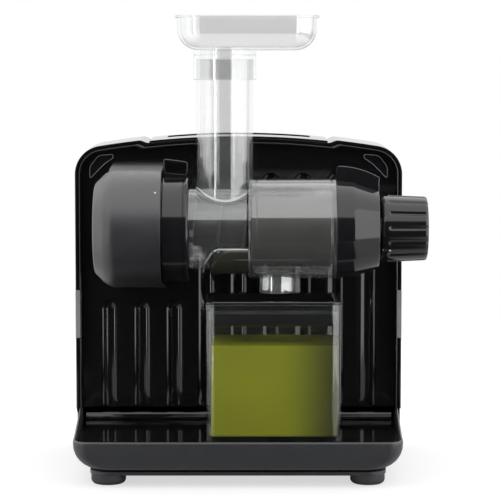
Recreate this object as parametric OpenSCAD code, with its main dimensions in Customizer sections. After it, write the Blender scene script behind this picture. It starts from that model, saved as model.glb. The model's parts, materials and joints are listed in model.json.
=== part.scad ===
// Compact horizontal auger juicer, standing on four feet.
// X runs along the auger axis to the adjusting knob, Y runs to the back, Z is up.
// The origin is the middle of the footprint, at the height of the feet.

/* [Housing] */
// Width of the main housing across its side walls
body_w = 284; // [270:1:300]
// Height of the housing's crowned top above the table, at the middle
body_top = 286.5; // [278:0.5:292]
// Radius of the crown across the housing's top
crown_r = 746; // [600:1:1200]
// Depth of the main housing from its front rim to the rear cover
body_depth = 80; // [78:1:86]
// Wall of the main housing
shell_t = 3; // [2.5:0.1:3.5]
// Radius of the housing's top corners
corner_r = 25; // [18:1:30]
// Distance from the front rim back to the fluted wall
recess = 13; // [10:1:15]
// Thickness of the front rim
rim_t = 5; // [4:0.5:6]
// Thickness of the fluted wall
wall_t = 6; // [5:0.5:7]
// Depth of the rear cover
cover_depth = 11; // [9:1:16]
// Thickness of the rear cover
cover_t = 2.5; // [2:0.1:3.5]

/* [Flutes] */
// Distance between neighbouring flutes
flute_pitch = 28.1; // [26:0.1:28.6]
// Width of one flute
flute_w = 15.8; // [12:0.2:18]
// Depth of one flute
flute_depth = 4; // [2:0.5:4.5]
// Height of the long flutes' tops
flute_top = 253; // [240:1:256]
// Height of the tops of the flutes below the drive unit
flute_low_top = 141; // [120:1:144]

/* [Base] */
// How far the tray's lip stands in from the housing's side
tray_front_side = 5.5; // [2:0.5:12]
// How far the tray's back edge stands in from the housing's side
tray_back_side = 2; // [0.5:0.5:7]
// Depth of the drip tray
tray_depth = 132; // [126:1:140]
// Underside of the drip tray above the table
tray_bottom = 15; // [14.6:0.1:17]
// Height of the lip's top edge above the table
lip_top = 38; // [35:0.5:40]
// Rise of the tray's side walls from the lip to the back
tray_rise = 8.5; // [4:0.5:12]
// Radius of the tray's lower side edges
tray_edge_r = 20; // [12:1:21]
// Wall of the drip tray
tray_t = 2.6; // [2:0.1:3.5]
// Thickness of the base pan's floor
pan_t = 3; // [2.5:0.1:3.5]
// Underside of the base pan above the table
pan_bottom = 8.6; // [8:0.1:9.5]
// Height of the floor plate's top above the table
floor_top = 36; // [33:0.5:37]
// Thickness of the floor plate
plate_h = 3; // [2.5:0.1:3.5]
// Width of the ledge inside the tray that carries the floor plate
tray_ledge = 2.5; // [1.5:0.1:4]
// Radius of a foot
foot_r = 14.5; // [12:0.5:16]
// Rounding of a foot's lower edge
foot_edge = 4; // [2:0.5:5]
// Distance of a foot's middle from the side of the tray's lip
foot_side = 28.5; // [25:0.5:37]

/* [Drive unit] */
// Height of the auger axis above the table
axis_z = 210; // [207:0.5:213]
// Distance of the auger axis in front of the fluted wall
axis_gap = 72; // [70:0.5:76]
// Outer radius of the round drive housing
drive_r = 49.3; // [48.8:0.1:51]
// Left end of the drive housing, from the middle of the body
drive_left = -120.6; // [-124:0.2:-119.6]
// Right end of the drive housing, from the middle of the body
drive_right = -64; // [-65:0.2:-63.6]
// Wall of the drive housing
drive_t = 2.6; // [2:0.1:3]
// Bevel around the drive housing's left end
drive_bevel = 13; // [8:1:16]

/* [Gears] */
// Tooth module of both gear pairs
gear_m = 1.5; // [1.5:0.05:1.55]
// Teeth on the motor pinion
pinion_n = 12; // [12:1:13]
// Teeth on the idler's wheel
idler_n = 56; // [54:1:56]
// Teeth on the idler's pinion
idler_pinion_n = 18; // [17:1:19]
// Teeth on the output wheel
output_n = 56; // [54:1:56]
// Width of a gear's teeth
gear_w = 10; // [8:0.5:11]
// Radius of the output shaft
shaft_r = 6; // [5:0.25:6.5]
// Radius of the idler axle
axle_r = 4; // [3:0.25:4.5]
// Radius of the motor shaft
motor_shaft_r = 3.5; // [3:0.25:3.75]
// Width across the flats of the drive hexagon
hex_af = 11; // [9:0.25:11.5]

/* [Motor] */
// Outer radius of the motor can
motor_r = 26; // [24:0.5:26.5]
// Length of the motor can
motor_len = 66; // [56:1:72]

/* [Locking ring] */
// Outer radius of the locking ring
ring_r = 44.5; // [43.5:0.1:46]
// Length of the locking ring
ring_len = 22; // [20:0.5:22.5]
// Reach of the locking ring's tab above the auger axis
ring_tab_top = 59; // [54:0.5:62]

/* [Juicing drum] */
// Outer radius of the drum's feed section
feed_r = 34.4; // [33.5:0.1:35.5]
// Outer radius of the drum's screen section
drum_r = 42; // [41:0.1:43.5]
// Wall of the drum
drum_t = 2.6; // [2.2:0.1:3]
// Left end of the screen section, from the middle of the body
step_x = 8.3; // [6:0.1:10]
// Right end of the drum, from the middle of the body
drum_right = 82.2; // [80:0.2:88]
// Outer radius of the feed chute
chute_r = 23.6; // [22.8:0.1:24.4]
// Inner radius of the feed chute
chute_bore_r = 20.8; // [20:0.1:21.2]
// Top of the feed chute above the table
chute_top = 352; // [345:1:356]
// Centre of the feed chute, from the middle of the body
chute_x = -11.1; // [-12:0.1:-9]
// Outer radius of the juice spout
spout_r = 15.1; // [13:0.1:16]
// Centre of the juice spout, from the middle of the body
spout_x = 33.1; // [31:0.1:38]
// Lower end of the juice spout above the table
spout_bottom = 156; // [155.6:0.1:160]

/* [Auger and screen] */
// Outer radius of the auger's flight
flight_r = 29.6; // [28:0.1:30]
// Distance between the auger's flights
flight_pitch = 22; // [18:0.5:26]
// Thickness of the auger's flight
flight_t = 3.2; // [2:0.1:4.5]
// Radius of the auger's core at the drive end
core_r0 = 13; // [11:0.1:15]
// Radius of the auger's core at the outlet end
core_r1 = 24; // [20:0.1:25.5]
// Wall of the juicing screen
screen_t = 1.6; // [1.2:0.1:2]
// Radial gap between the flight and the screen
screen_gap = 1; // [0.6:0.1:1.4]

/* [End cap and knob] */
// Outer radius of the end cap at the drum
cap_r = 42; // [41:0.1:43.5]
// Outer radius of the end cap at the knob
cap_r_end = 34; // [32.5:0.1:36]
// Length of the end cap
cap_len = 37; // [35:0.5:42]
// Reach of the end cap's tab above the auger axis
cap_tab_top = 53; // [49:0.5:56]
// Radius of the adjusting knob at the end cap
knob_r = 28.3; // [26:0.1:29.5]
// Radius of the adjusting knob at its outer end
knob_r_end = 26.8; // [25:0.1:28.5]
// Length of the adjusting knob
knob_len = 39; // [34:0.5:44]

/* [Hopper] */
// Length of the hopper tray
hopper_l = 120; // [110:1:130]
// Width of the hopper tray from front to back
hopper_w = 92; // [84:1:100]
// Height of the hopper tray's rim above the table
hopper_top = 388.6; // [384:0.2:394]
// Depth of the hopper tray
hopper_depth = 29; // [24:0.5:31]
// Rounding of the hopper tray's lower edges
hopper_edge_r = 20; // [8:1:20]
// Wall of the hopper tray
hopper_t = 2.4; // [2:0.1:3]
// Outer radius of the hopper's collar
collar_r = 26.4; // [26.2:0.1:27.5]
// Length of the hopper's collar
collar_len = 27; // [20:0.5:32]
// Sideways offset of the tray's centre from the chute
hopper_shift = 18.7; // [16:0.1:22]

/* [Container] */
// Width of the juice container
cup_w = 113; // [104:1:120]
// Depth of the juice container from front to back
cup_d = 74; // [70:1:78]
// Height of the juice container with its lid on
cup_h = 117; // [112:0.5:118.5]
// Wall of the juice container
cup_t = 2.4; // [2:0.1:3]
// Corner radius of the juice container
cup_corner = 9; // [6:0.5:12]
// Centre of the juice container, from the middle of the body
cup_x = 29.5; // [26:0.1:32]

/* [Fittings] */
// Clearance between pieces that lift or slide apart
play = 0.3; // [0.25:0.05:0.4]
// Radial clearance of a shaft or pin in its running bore
run_play = 0.05; // [0.03:0.01:0.08]
// Radius of the cord inlet's bore
inlet_r = 3.6; // [3:0.1:4]
// Width of the rocker switch
switch_w = 15; // [12:0.5:18]
// Height of the rocker switch
switch_h = 21; // [18:0.5:24]
// Height of the rocker switch's centre above the table
switch_z = 104; // [90:1:120]

/* [Hidden] */
$fn = 64;

tiny = 0.01;
crown_fn = 720;
rim_y = 7.5;
wall_y = rim_y + recess;
back_y = rim_y + body_depth;
rear_y = back_y + play + cover_depth;
axis_y = wall_y - axis_gap;
lip_y = wall_y - tray_depth;
knob_right = drum_right + play + cap_len + play + knob_len;
inlet_flange = 3;
screw_head = 1.4;
origin_x = (knob_right - body_w / 2 - inlet_flange) / 2;
origin_y = (lip_y + rear_y + screw_head) / 2;
shell_bottom = pan_bottom + pan_t + play;
tray_front_w = body_w - 2 * tray_front_side;
tray_back_w = body_w - 2 * tray_back_side;
foot_x = tray_front_w / 2 - foot_side;
shell_bottom_r = 6;
crown_z = body_top - crown_r;
corner_x = body_w / 2 - corner_r;
corner_z = crown_z + sqrt(pow(crown_r - corner_r, 2) - pow(corner_x, 2));

// Drive train places along X and Y
neck_step = 11;
neck_left = drive_left + neck_step;
window_left = neck_left + drive_t;
plate_t = 2.5;
plate_gap = 1.5;
outer_plate_x = window_left + play;
wheel_x1 = outer_plate_x + plate_t + plate_gap;
wheel_x2 = wheel_x1 + gear_w + 2 * plate_gap;
idler_y = axis_y + gear_m * (idler_pinion_n + output_n) / 2 + 0.1;
motor_y = idler_y + gear_m * (pinion_n + idler_n) / 2 + 0.1;
inner_plate_x = wheel_x2 + gear_w + plate_gap;
front_x = drive_right - 3;
neck_rise = 3.4;
neck_top = axis_z + drive_r + neck_rise;
neck_bottom = axis_z - drive_r - 9;
window_right = drive_right - drive_t - 0.4;
motor_x = inner_plate_x + plate_t;
bearing_r = 11;
bearing_w = 7;
seal_r = 10;

// Locking ring, drum and cap places along X
spigot_r = drum_spigot_r();
ring_left = drive_right + 0.5;
ring_right = ring_left + ring_len;
spigot_len = 7;
drum_flange_w = 4;
throat_r = chute_bore_r + 0.5;
drum_left = drive_right + spigot_len + 0.6;
drum_flange_r = feed_r + 3.6;
cap_left = drum_right + play;
cap_right = cap_left + cap_len;
knob_left = cap_right + play;
screen_ri = flight_r + screen_gap;
screen_ro = screen_ri + screen_t;
feed_bore = feed_r - drum_t;
drum_bore = drum_r - drum_t;
screen_left = step_x + 4;
screen_right = drum_right - 3;
auger_left = drum_left + drum_t + 1;
auger_right = drum_right - 2;
nose_r = 5;
nose_len = 12;
hub_r = 9;

// Container and tray places
tray_back = wall_y - play;
plate_bottom = floor_top - plate_h;
cup_bottom = floor_top + play;
cup_front = lip_y + 9.5;
cup_y = cup_front + cup_d / 2;
lid_top = cup_bottom + cup_h;
latch_z0 = 109;
latch_z1 = 151;

function drum_spigot_r() = ring_r - 4.5;

// Involute tooth flank: polar points from the root to the tip, for one side of a tooth
press_angle = 25;
backlash = 0.14;
function inv(a) = tan(a) * 180 / PI - a;
function flank_angle(r, rp, half) =
    let (rb = rp * cos(press_angle))
    let (a = r > rb ? acos(rb / r) : 0)
    half + inv(press_angle) - inv(a);
function gear_points(n, steps = 4) =
    let (rp = gear_m * n / 2, rb = rp * cos(press_angle), ra = rp + gear_m, rf = rp - 1.25 * gear_m)
    let (half = 90 / n - backlash / 2 / rp * 180 / PI, r0 = max(rb, rf))
    let (radii = concat(rf < rb ? [rf] : [], [for (i = [0:steps]) r0 + (ra - r0) * i / steps]))
    [for (k = [0:n - 1])
        let (c = k * 360 / n)
        each concat(
            [for (r = radii) [r * cos(c - flank_angle(r, rp, half)), r * sin(c - flank_angle(r, rp, half))]],
            [for (i = [len(radii) - 1:-1:0])
                let (r = radii[i])
                [r * cos(c + flank_angle(r, rp, half)), r * sin(c + flank_angle(r, rp, half))]])];

// Points of a helical flight: four corners a ring, swept along X
flight_step = 15;
function flight_core(x) = core_r0 + (core_r1 - core_r0) * (x - auger_left) / (auger_right - auger_left);
function flight_ring(a, x) = [
    [x, (flight_core(x) - 1.5) * cos(a), (flight_core(x) - 1.5) * sin(a)],
    [x, flight_r * cos(a), flight_r * sin(a)],
    [x + flight_t, flight_r * cos(a), flight_r * sin(a)],
    [x + flight_t, (flight_core(x) - 1.5) * cos(a), (flight_core(x) - 1.5) * sin(a)]];

module place() {
    translate([-origin_x, -origin_y, 0])
        children();
}

// A frame whose Z runs along +X from x, on an axis at y and z
module along_x(x, y = axis_y, z = axis_z) {
    translate([x, y, z])
        rotate([90, 0, 90])
            children();
}

// A drawing in X and Z, extruded back from y0 to y1
module extrude_y(y0, y1) {
    translate([0, y1, 0])
        rotate([90, 0, 0])
            linear_extrude(height = y1 - y0)
                children();
}

// A rectangle with round corners, centred on the origin
module round_rect(w, h, r) {
    square([w - 2 * r, h], center = true);
    square([w, h - 2 * r], center = true);
    for (sx = [-1, 1], sy = [-1, 1])
        translate([sx * (w / 2 - r), sy * (h / 2 - r)])
            circle(r = r);
}

// Front view of the housing: a crowned top, round corners and a flat foot
module housing_profile(inset = 0) {
    r = corner_r - inset;
    foot = shell_bottom + inset;
    foot_r = max(shell_bottom_r - inset, 1);
    half = body_w / 2 - inset;
    translate([-half, foot + foot_r])
        square([2 * half, corner_z - foot - foot_r]);
    translate([-half + foot_r, foot])
        square([2 * half - 2 * foot_r, foot_r + 1]);
    for (s = [-1, 1]) {
        translate([s * corner_x, corner_z])
            circle(r = r);
        translate([s * (half - foot_r), foot + foot_r])
            circle(r = foot_r);
    }
    intersection() {
        crown_disc(inset);
        polygon([[-corner_x, corner_z - 1], [corner_x, corner_z - 1], [corner_x, corner_z],
            [2 * corner_x, 2 * corner_z - crown_z], [-2 * corner_x, 2 * corner_z - crown_z],
            [-corner_x, corner_z]]);
    }
}

// The disc whose edge is the crown, lowered by drop
module crown_disc(drop) {
    translate([0, crown_z])
        circle(r = crown_r - drop, $fn = crown_fn);
}

// The housing's front view with the carry grip's stretch lowered
module notched_profile(inset = 0) {
    edge = handle_w / 2 + inset;
    floor_z = crown_z + sqrt(pow(crown_r - handle_drop - inset, 2) - pow(edge, 2));
    difference() {
        housing_profile(inset);
        difference() {
            // its ends slope up to the crown
            polygon([[-edge, floor_z - handle_drop], [edge, floor_z - handle_drop], [edge, floor_z],
                [edge + 3 * handle_slope, floor_z + 3 * handle_drop],
                [-edge - 3 * handle_slope, floor_z + 3 * handle_drop], [-edge, floor_z]]);
            crown_disc(handle_drop + inset);
        }
    }
}

// ---------- housing ----------

handle_w = 155;
handle_drop = 3;
handle_slope = 9;
tub_w = 132;
tub_y0 = wall_y + wall_t + 3;
tub_y1 = back_y - 5;
tub_depth = 34;
tub_t = 3;
grip_plate_t = 1.6;
grip_ledge = 14;
grip_ledge_t = 11;

flute_bottom = floor_top + 1;
function flute_x(k) = (k - 4) * flute_pitch;

module flute_2d(x, top) {
    translate([x - flute_w / 2, flute_bottom])
        square([flute_w, top - flute_w / 2 - flute_bottom]);
    translate([x, top - flute_w / 2])
        circle(r = flute_w / 2);
}

module neck_window_2d() {
    translate([window_left, neck_bottom + drive_t])
        square([window_right - window_left, neck_top - neck_bottom - 2 * drive_t]);
}

// The whole shell, which is built as a top, two sides and a floor
module housing_shell() {
    difference() {
        extrude_y(rim_y, back_y)
            notched_profile();
        // front rim, in front of the fluted wall
        extrude_y(rim_y - 1, wall_y + 1)
            notched_profile(rim_t);
        // hollow that takes the fluted wall and the drive
        extrude_y(wall_y, back_y + 1)
            notched_profile(shell_t);
        // the tray stands in the lower front
        translate([-body_w, rim_y - 1, 0])
            cube([2 * body_w, recess + 1, lip_top + tray_rise + play]);
        // opening for the handle tub
        translate([-tub_w / 2, tub_y0, body_top - tub_depth])
            cube([tub_w, tub_y1 - tub_y0, tub_depth + 1]);
        // switch and cord inlet in the left wall
        translate([-body_w / 2 - 1, switch_y - switch_w / 2 - bezel_t, switch_z - switch_h / 2 - bezel_t])
            cube([shell_t + 2, switch_w + 2 * bezel_t, switch_h + 2 * bezel_t]);
        translate([-body_w / 2 - 1, switch_y, inlet_z])
            rotate([0, 90, 0])
                cylinder(r = inlet_r + inlet_wall, h = shell_t + 2);
        // seats for the side inlays
        for (s = [-1, 1])
            translate([s * body_w / 2 - inlay_t, rim_y - 1, latch_z0])
                cube([2 * inlay_t, 1 + inlay_depth, latch_z1 - latch_z0]);
        for (p = base_screw_places)
            translate([p[0], p[1], shell_bottom - 1])
                cylinder(r = screw_r, h = shell_t + 2);
    }
}

split_top = corner_z - 6;
split_low = shell_bottom + 10;

module housing_part(x0, x1, z0, z1) {
    color("#17171a")
    place()
    intersection() {
        housing_shell();
        translate([x0, rim_y - 1, z0])
            cube([x1 - x0, body_depth + 2, z1 - z0]);
    }
}

module main_housing() {
    housing_part(-body_w, body_w, split_top, body_top + 1);
}

module left_side() {
    housing_part(-body_w, 0, split_low, split_top);
}

module right_side() {
    housing_part(0, body_w, split_low, split_top);
}

module housing_floor() {
    housing_part(-body_w, body_w, 0, split_low);
}

module fluted_wall() {
    color("#141416")
    place()
    difference() {
        extrude_y(wall_y, wall_y + wall_t)
            notched_profile(shell_t + play);
        for (k = [0:8])
            extrude_y(wall_y - 1, wall_y + flute_depth)
                flute_2d(flute_x(k), k < 3 ? flute_low_top : flute_top);
        // window for the gear train
        extrude_y(wall_y - 1, wall_y + wall_t + 1)
            neck_window_2d();
    }
}

switch_y = back_y - 30;
bezel_t = 1.5;
inlet_z = 44;
inlet_wall = 3;
inlay_depth = 9;
inlay_t = 4.2;

module side_inlays() {
    color("#8b8d90")
    place()
    for (s = [-1, 1])
        translate([s * (body_w - inlay_t) / 2 - inlay_t / 2, rim_y, latch_z0])
            cube([inlay_t, inlay_depth, latch_z1 - latch_z0]);
}

trim_r = 20;
trim_w = 5;
trim_t = 1.6;
trim_shift = 8;
trim_sink = 2.4;
module corner_trims() {
    color("#26262a")
    place()
    difference() {
        for (s = [-1, 1])
            extrude_y(wall_y - trim_t, wall_y)
                translate([s * (corner_x - trim_shift), corner_z - trim_sink])
                    intersection() {
                        difference() {
                            circle(r = trim_r);
                            circle(r = trim_r - trim_w);
                        }
                        translate([s > 0 ? 0 : -trim_r, 0])
                            square([trim_r, trim_r]);
                    }
        // keeps clear of the drive housing's neck
        along_x(neck_left - play)
            linear_extrude(height = drive_right - neck_left + 2 * play)
                neck_outline(-play);
    }
}

// A slab under the lowered grip stretch: lift above it, down to a flat floor
module grip_slab(w, lift, depth) {
    intersection() {
        crown_disc(handle_drop - lift);
        translate([-w / 2, body_top - handle_drop - depth])
            square([w, depth + lift + 1]);
    }
}

module carry_handle() {
    color("#1d1d20")
    place()
    difference() {
        union() {
            extrude_y(tub_y0 + play, tub_y1 - play)
                grip_slab(tub_w - 2 * play, tiny, tub_depth);
            extrude_y(rim_y + 1, back_y)
                difference() {
                    grip_slab(handle_w - 2 * play, grip_plate_t, tub_depth);
                    crown_disc(handle_drop);
                }
        }
        difference() {
            extrude_y(tub_y0 + tub_t, tub_y1 - tub_t)
                grip_slab(tub_w - 2 * tub_t, grip_plate_t + 1, tub_depth - tub_t);
            extrude_y(tub_y0, tub_y0 + tub_t + grip_ledge)
                grip_slab(tub_w, grip_plate_t, grip_ledge_t);
        }
    }
}

cover_inset = 1;
vents = 12;
vent_x = -100;
vent_z = 60;
vent_w = 4;
vent_h = 60;
vent_pitch = 9;
screw_r = 1.6;
screw_head_r = 3;
cover_screw_side = 22;
cover_screw_places = [for (sx = [-1, 1], z = [shell_bottom + cover_screw_side, corner_z + 3])
    [sx * (body_w / 2 - cover_screw_side), z]];

module rear_cover() {
    color("#17171a")
    place()
    difference() {
        extrude_y(back_y + play, rear_y)
            notched_profile(cover_inset);
        extrude_y(back_y + play - 1, rear_y - cover_t)
            notched_profile(cover_inset + cover_t);
        for (i = [0:vents - 1])
            translate([vent_x + i * vent_pitch, rear_y - cover_t - 1, vent_z])
                cube([vent_w, cover_t + 2, vent_h]);
        for (p = cover_screw_places)
            translate([p[0], rear_y - cover_t - 1, p[1]])
                rotate([-90, 0, 0])
                    cylinder(r = screw_r, h = cover_t + 2);
    }
}

module screw(len) {
    cylinder(r = screw_head_r, h = screw_head);
    translate([0, 0, screw_head - tiny])
        cylinder(r = screw_r - tiny, h = len + tiny);
}

module cover_screws() {
    color("silver")
    place()
    for (p = cover_screw_places)
        translate([p[0], rear_y + screw_head, p[1]])
            rotate([90, 0, 0])
                screw(cover_t + 6);
}

// ---------- base ----------

base_screw_places = [for (sx = [-1, 1], p = [[60, 40], [100, 28]]) [sx * p[0], rim_y + p[1]]];

module base_pan() {
    color("#202024")
    place()
    difference() {
        union() {
            translate([0, (lip_y + 10 + back_y) / 2, pan_bottom])
                linear_extrude(height = pan_t)
                    round_rect(tray_front_w - 26, back_y - lip_y - 10, 16);
            // rails that carry the drip tray
            for (x = [-96, -34, 34, 96])
                translate([x - 3, lip_y + 22, pan_bottom + pan_t - tiny])
                    cube([6, tray_depth - 34, tray_bottom - pan_bottom - pan_t - 0.05 + tiny]);
        }
        for (p = base_screw_places)
            translate([p[0], p[1], pan_bottom - 1])
                cylinder(r = screw_r, h = pan_t + 2);
    }
}

module base_screws() {
    color("silver")
    place()
    for (p = base_screw_places)
        translate([p[0], p[1], pan_bottom - screw_head])
            screw(pan_t + 5);
}

foot_front = lip_y + 24;
foot_back = back_y - 20;

module feet() {
    color("#3d3d42")
    place()
    for (sx = [-1, 1], y = [foot_front, foot_back])
        translate([sx * foot_x, y, 0])
            rotate_extrude()
                union() {
                    square([foot_r - foot_edge, pan_bottom]);
                    translate([0, foot_edge])
                        square([foot_r, pan_bottom - foot_edge]);
                    translate([foot_r - foot_edge, foot_edge])
                        circle(r = foot_edge);
                }
}

function tray_w(y) = tray_front_w + (tray_back_w - tray_front_w) * (y - lip_y) / (tray_back - lip_y);
tray_corner_r = 12;
plate_margin = 0.4;

// The tray seen from above, from the lip to a given back edge
module tray_plan(inset, back) {
    r = tray_corner_r;
    half = tray_front_w / 2;
    intersection() {
        polygon([[-half + inset, lip_y + inset], [half - inset, lip_y + inset],
            [tray_w(back) / 2 - inset, back], [-tray_w(back) / 2 + inset, back]]);
        union() {
            translate([-body_w, lip_y + r + inset])
                square([2 * body_w, tray_depth + recess]);
            translate([-half + r, lip_y])
                square([tray_front_w - 2 * r, tray_depth]);
            for (s = [-1, 1])
                translate([s * (half - r), lip_y + r])
                    circle(r = r - inset);
        }
    }
}

// Front view of the tray: flat sides above round lower edges
module tray_section(w, inset, floor_t, top) {
    r = max(tray_edge_r - floor_t, 1);
    h = top - tray_bottom - floor_t;
    translate([0, tray_bottom + floor_t])
        intersection() {
            union() {
                translate([-w / 2 + inset + r, 0])
                    square([w - 2 * inset - 2 * r, r + 1]);
                translate([-w / 2 + inset, r])
                    square([w - 2 * inset, h]);
                for (s = [-1, 1])
                    translate([s * (w / 2 - inset - r), r])
                        circle(r = r);
            }
            translate([-w / 2, 0])
                square([w, h]);
        }
}

// A block of the sled that widens and rises from the lip to the back
module tray_block(inset, floor_t, back, front_top, back_top) {
    slice = 0.2;
    intersection() {
        hull() {
            extrude_y(lip_y + inset, lip_y + inset + slice)
                tray_section(tray_front_w, inset, floor_t, front_top);
            extrude_y(back - slice, back)
                tray_section(tray_w(back), inset, floor_t, back_top);
        }
        translate([0, 0, tray_bottom])
            linear_extrude(height = 3 * lip_top)
                tray_plan(inset, back);
    }
}

module drip_tray() {
    color("#4a4b50")
    place()
    difference() {
        tray_block(0, 0, tray_back, lip_top, lip_top + tray_rise);
        tray_block(tray_t, plate_bottom - tray_bottom, wall_y + 10, 2 * lip_top, 2 * lip_top);
        tray_block(tray_t + tray_ledge, tray_t, tray_back - tray_t - tray_ledge, floor_top, floor_top);
    }
}

module floor_plate() {
    color("#111113")
    place()
    tray_block(tray_t + plate_margin, plate_bottom - tray_bottom, tray_back, floor_top, floor_top);
}

// ---------- drive unit ----------

// Outline of the drive housing and its neck, in Y and Z about the auger axis
module neck_outline(inset = 0) {
    top = neck_top - axis_z - inset;
    low = neck_bottom - axis_z + inset;
    back = wall_y - axis_y;
    circle(r = drive_r - inset);
    polygon([[0, drive_r - inset], [back, top], [back, low], [0, -drive_r + inset]]);
}

// Half section of the round drive housing, from its left end
module drum_profile(inset = 0) {
    len = drive_right - drive_left;
    shift = inset * tan(22.5);
    polygon([[0, inset], [drive_r - drive_bevel - shift, inset], [drive_r - inset, drive_bevel + shift],
        [drive_r - inset, len], [0, len]]);
}

module drive_housing() {
    color("#5d5e63")
    place() {
        difference() {
            union() {
                along_x(drive_left)
                    rotate_extrude()
                        drum_profile();
                along_x(neck_left)
                    linear_extrude(height = drive_right - neck_left)
                        neck_outline();
            }
            along_x(drive_left)
                rotate_extrude()
                    drum_profile(drive_t);
            along_x(window_left)
                linear_extrude(height = drive_right - window_left + 1)
                    neck_outline(drive_t);
            translate([neck_left - 1, wall_y, 0])
                cube([drive_right - neck_left + 2, 100, 2 * axis_z]);
            along_x(drive_right - 3)
                cylinder(r = drive_r - drive_t, h = 10);
        }
        // bearing seat on the inside of the left end
        along_x(drive_left + drive_t - tiny)
            difference() {
                cylinder(r = bearing_r + 2.5, h = bearing_w);
                translate([0, 0, 0.5])
                    cylinder(r = bearing_r, h = bearing_w + 1);
            }
    }
}

module drive_front() {
    color("#2b2b2f")
    place()
    difference() {
        union() {
            along_x(front_x)
                intersection() {
                    linear_extrude(height = drive_right - front_x)
                        neck_outline(drive_t + play);
                    translate([-100, -100, -1])
                        cube([100 + wall_y - axis_y, 200, 10]);
                }
            along_x(drive_right - tiny)
                difference() {
                    cylinder(r = spigot_r, h = spigot_len);
                    translate([0, 0, 1])
                        cylinder(r = spigot_r - 4, h = spigot_len);
                }
            along_x(drive_right - tiny)
                cylinder(r = seal_r + 3, h = spigot_len - 1);
            along_x(front_x - bearing_w + 1)
                cylinder(r = bearing_r + 2.5, h = bearing_w);
        }
        along_x(front_x - bearing_w)
            cylinder(r = bearing_r, h = bearing_w + 1);
        along_x(front_x)
            cylinder(r = seal_r, h = 20);
    }
}

plate_height = 64;
module gear_plate(x, y_end) {
    difference() {
        union() {
            translate([x, axis_y - 30, axis_z - plate_height / 2])
                cube([plate_t, y_end - axis_y + 30, plate_height]);
            // lugs clamped in the wall's window
            translate([x, wall_y, neck_bottom + drive_t])
                cube([plate_t, wall_t, neck_top - neck_bottom - 2 * drive_t]);
        }
        along_x(x - 1)
            cylinder(r = bearing_r + 3.5, h = plate_t + 2);
        along_x(x - 1, idler_y)
            cylinder(r = axle_r, h = plate_t + 2);
    }
}

plate_screw_places = [for (a = [45:90:315]) [motor_y + 19 * cos(a), axis_z + 19 * sin(a)]];

module gear_plate_outer() {
    color("#a7a9ac")
    place()
    difference() {
        gear_plate(outer_plate_x, motor_y + 14);
        along_x(outer_plate_x - 1, motor_y)
            cylinder(r = 8, h = plate_t + 2);
    }
}

module gear_plate_inner() {
    color("#a7a9ac")
    place()
    difference() {
        gear_plate(inner_plate_x, motor_y + 26);
        along_x(inner_plate_x - 1, motor_y)
            cylinder(r = 8, h = plate_t + 2);
        for (p = plate_screw_places)
            translate([inner_plate_x - 1, p[0], p[1]])
                rotate([0, 90, 0])
                    cylinder(r = screw_r, h = plate_t + 2);
    }
}

module plate_screws() {
    color("silver")
    place()
    for (p = plate_screw_places)
        translate([inner_plate_x - screw_head, p[0], p[1]])
            rotate([0, 90, 0])
                screw(plate_t + 2);
}

module ring_bearing(x, y, outer, inner, w) {
    along_x(x, y)
        difference() {
            cylinder(r = outer, h = w);
            translate([0, 0, -1])
                cylinder(r = inner, h = w + 2);
        }
}

module shaft_bearings() {
    color("#b9bcc0")
    place() {
        ring_bearing(drive_left + drive_t + 0.5, axis_y, bearing_r, shaft_r + run_play, bearing_w - 1);
        ring_bearing(front_x - bearing_w + 0.5, axis_y, bearing_r, shaft_r + run_play, bearing_w - 0.5);
    }
}

module shaft_seal() {
    color("#101010")
    place()
    ring_bearing(drive_right - 1, axis_y, seal_r, shaft_r + run_play, spigot_len - 0.5);
}

shaft_left = drive_left + drive_t + 1;
hex_left = drive_right + spigot_len - 0.5;
hex_right = auger_left + 16;

module output_shaft() {
    color("#c9ccd0")
    place() {
        along_x(shaft_left)
            cylinder(r = shaft_r, h = hex_left - shaft_left);
        along_x(hex_left - tiny)
            cylinder(r = hex_af / sqrt(3), h = hex_right - hex_left, $fn = 6);
    }
}

module spur_gear(n, w, phase) {
    rotate([0, 0, phase])
        linear_extrude(height = w)
            polygon(gear_points(n));
}

module output_gear() {
    color("#d8d2bf")
    place()
    difference() {
        along_x(wheel_x2)
            spur_gear(output_n, gear_w, 180 / output_n);
        along_x(wheel_x2 - 1)
            cylinder(r = shaft_r, h = gear_w + 2);
        for (a = [0:60:300])
            along_x(wheel_x2 - 1)
                rotate([0, 0, a])
                    translate([24, 0, 0])
                        cylinder(r = 7, h = gear_w + 2);
    }
}

module idler_gear() {
    color("#d8d2bf")
    place()
    difference() {
        union() {
            along_x(wheel_x1, idler_y)
                spur_gear(idler_n, gear_w, 0);
            along_x(wheel_x1 + gear_w - tiny, idler_y)
                cylinder(r = gear_m * idler_pinion_n / 2 - 1.3 * gear_m, h = wheel_x2 - wheel_x1 - gear_w + 2 * tiny);
            along_x(wheel_x2, idler_y)
                spur_gear(idler_pinion_n, gear_w, idler_pinion_n % 2 == 0 ? 0 : 180 / idler_pinion_n);
        }
        along_x(wheel_x1 - 1, idler_y)
            cylinder(r = axle_r + run_play, h = wheel_x2 - wheel_x1 + gear_w + 2);
        for (a = [0:60:300])
            along_x(wheel_x1 - 1, idler_y)
                rotate([0, 0, a])
                    translate([26, 0, 0])
                        cylinder(r = 7, h = gear_w + 2);
    }
}

module idler_axle() {
    color("#c9ccd0")
    place()
    along_x(outer_plate_x, idler_y)
        cylinder(r = axle_r, h = inner_plate_x + plate_t - outer_plate_x);
}

// ---------- motor ----------

motor_end_t = 3;
motor_bearing_r = 8;
motor_right = motor_x + motor_len;
motor_t = 2;

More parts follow.
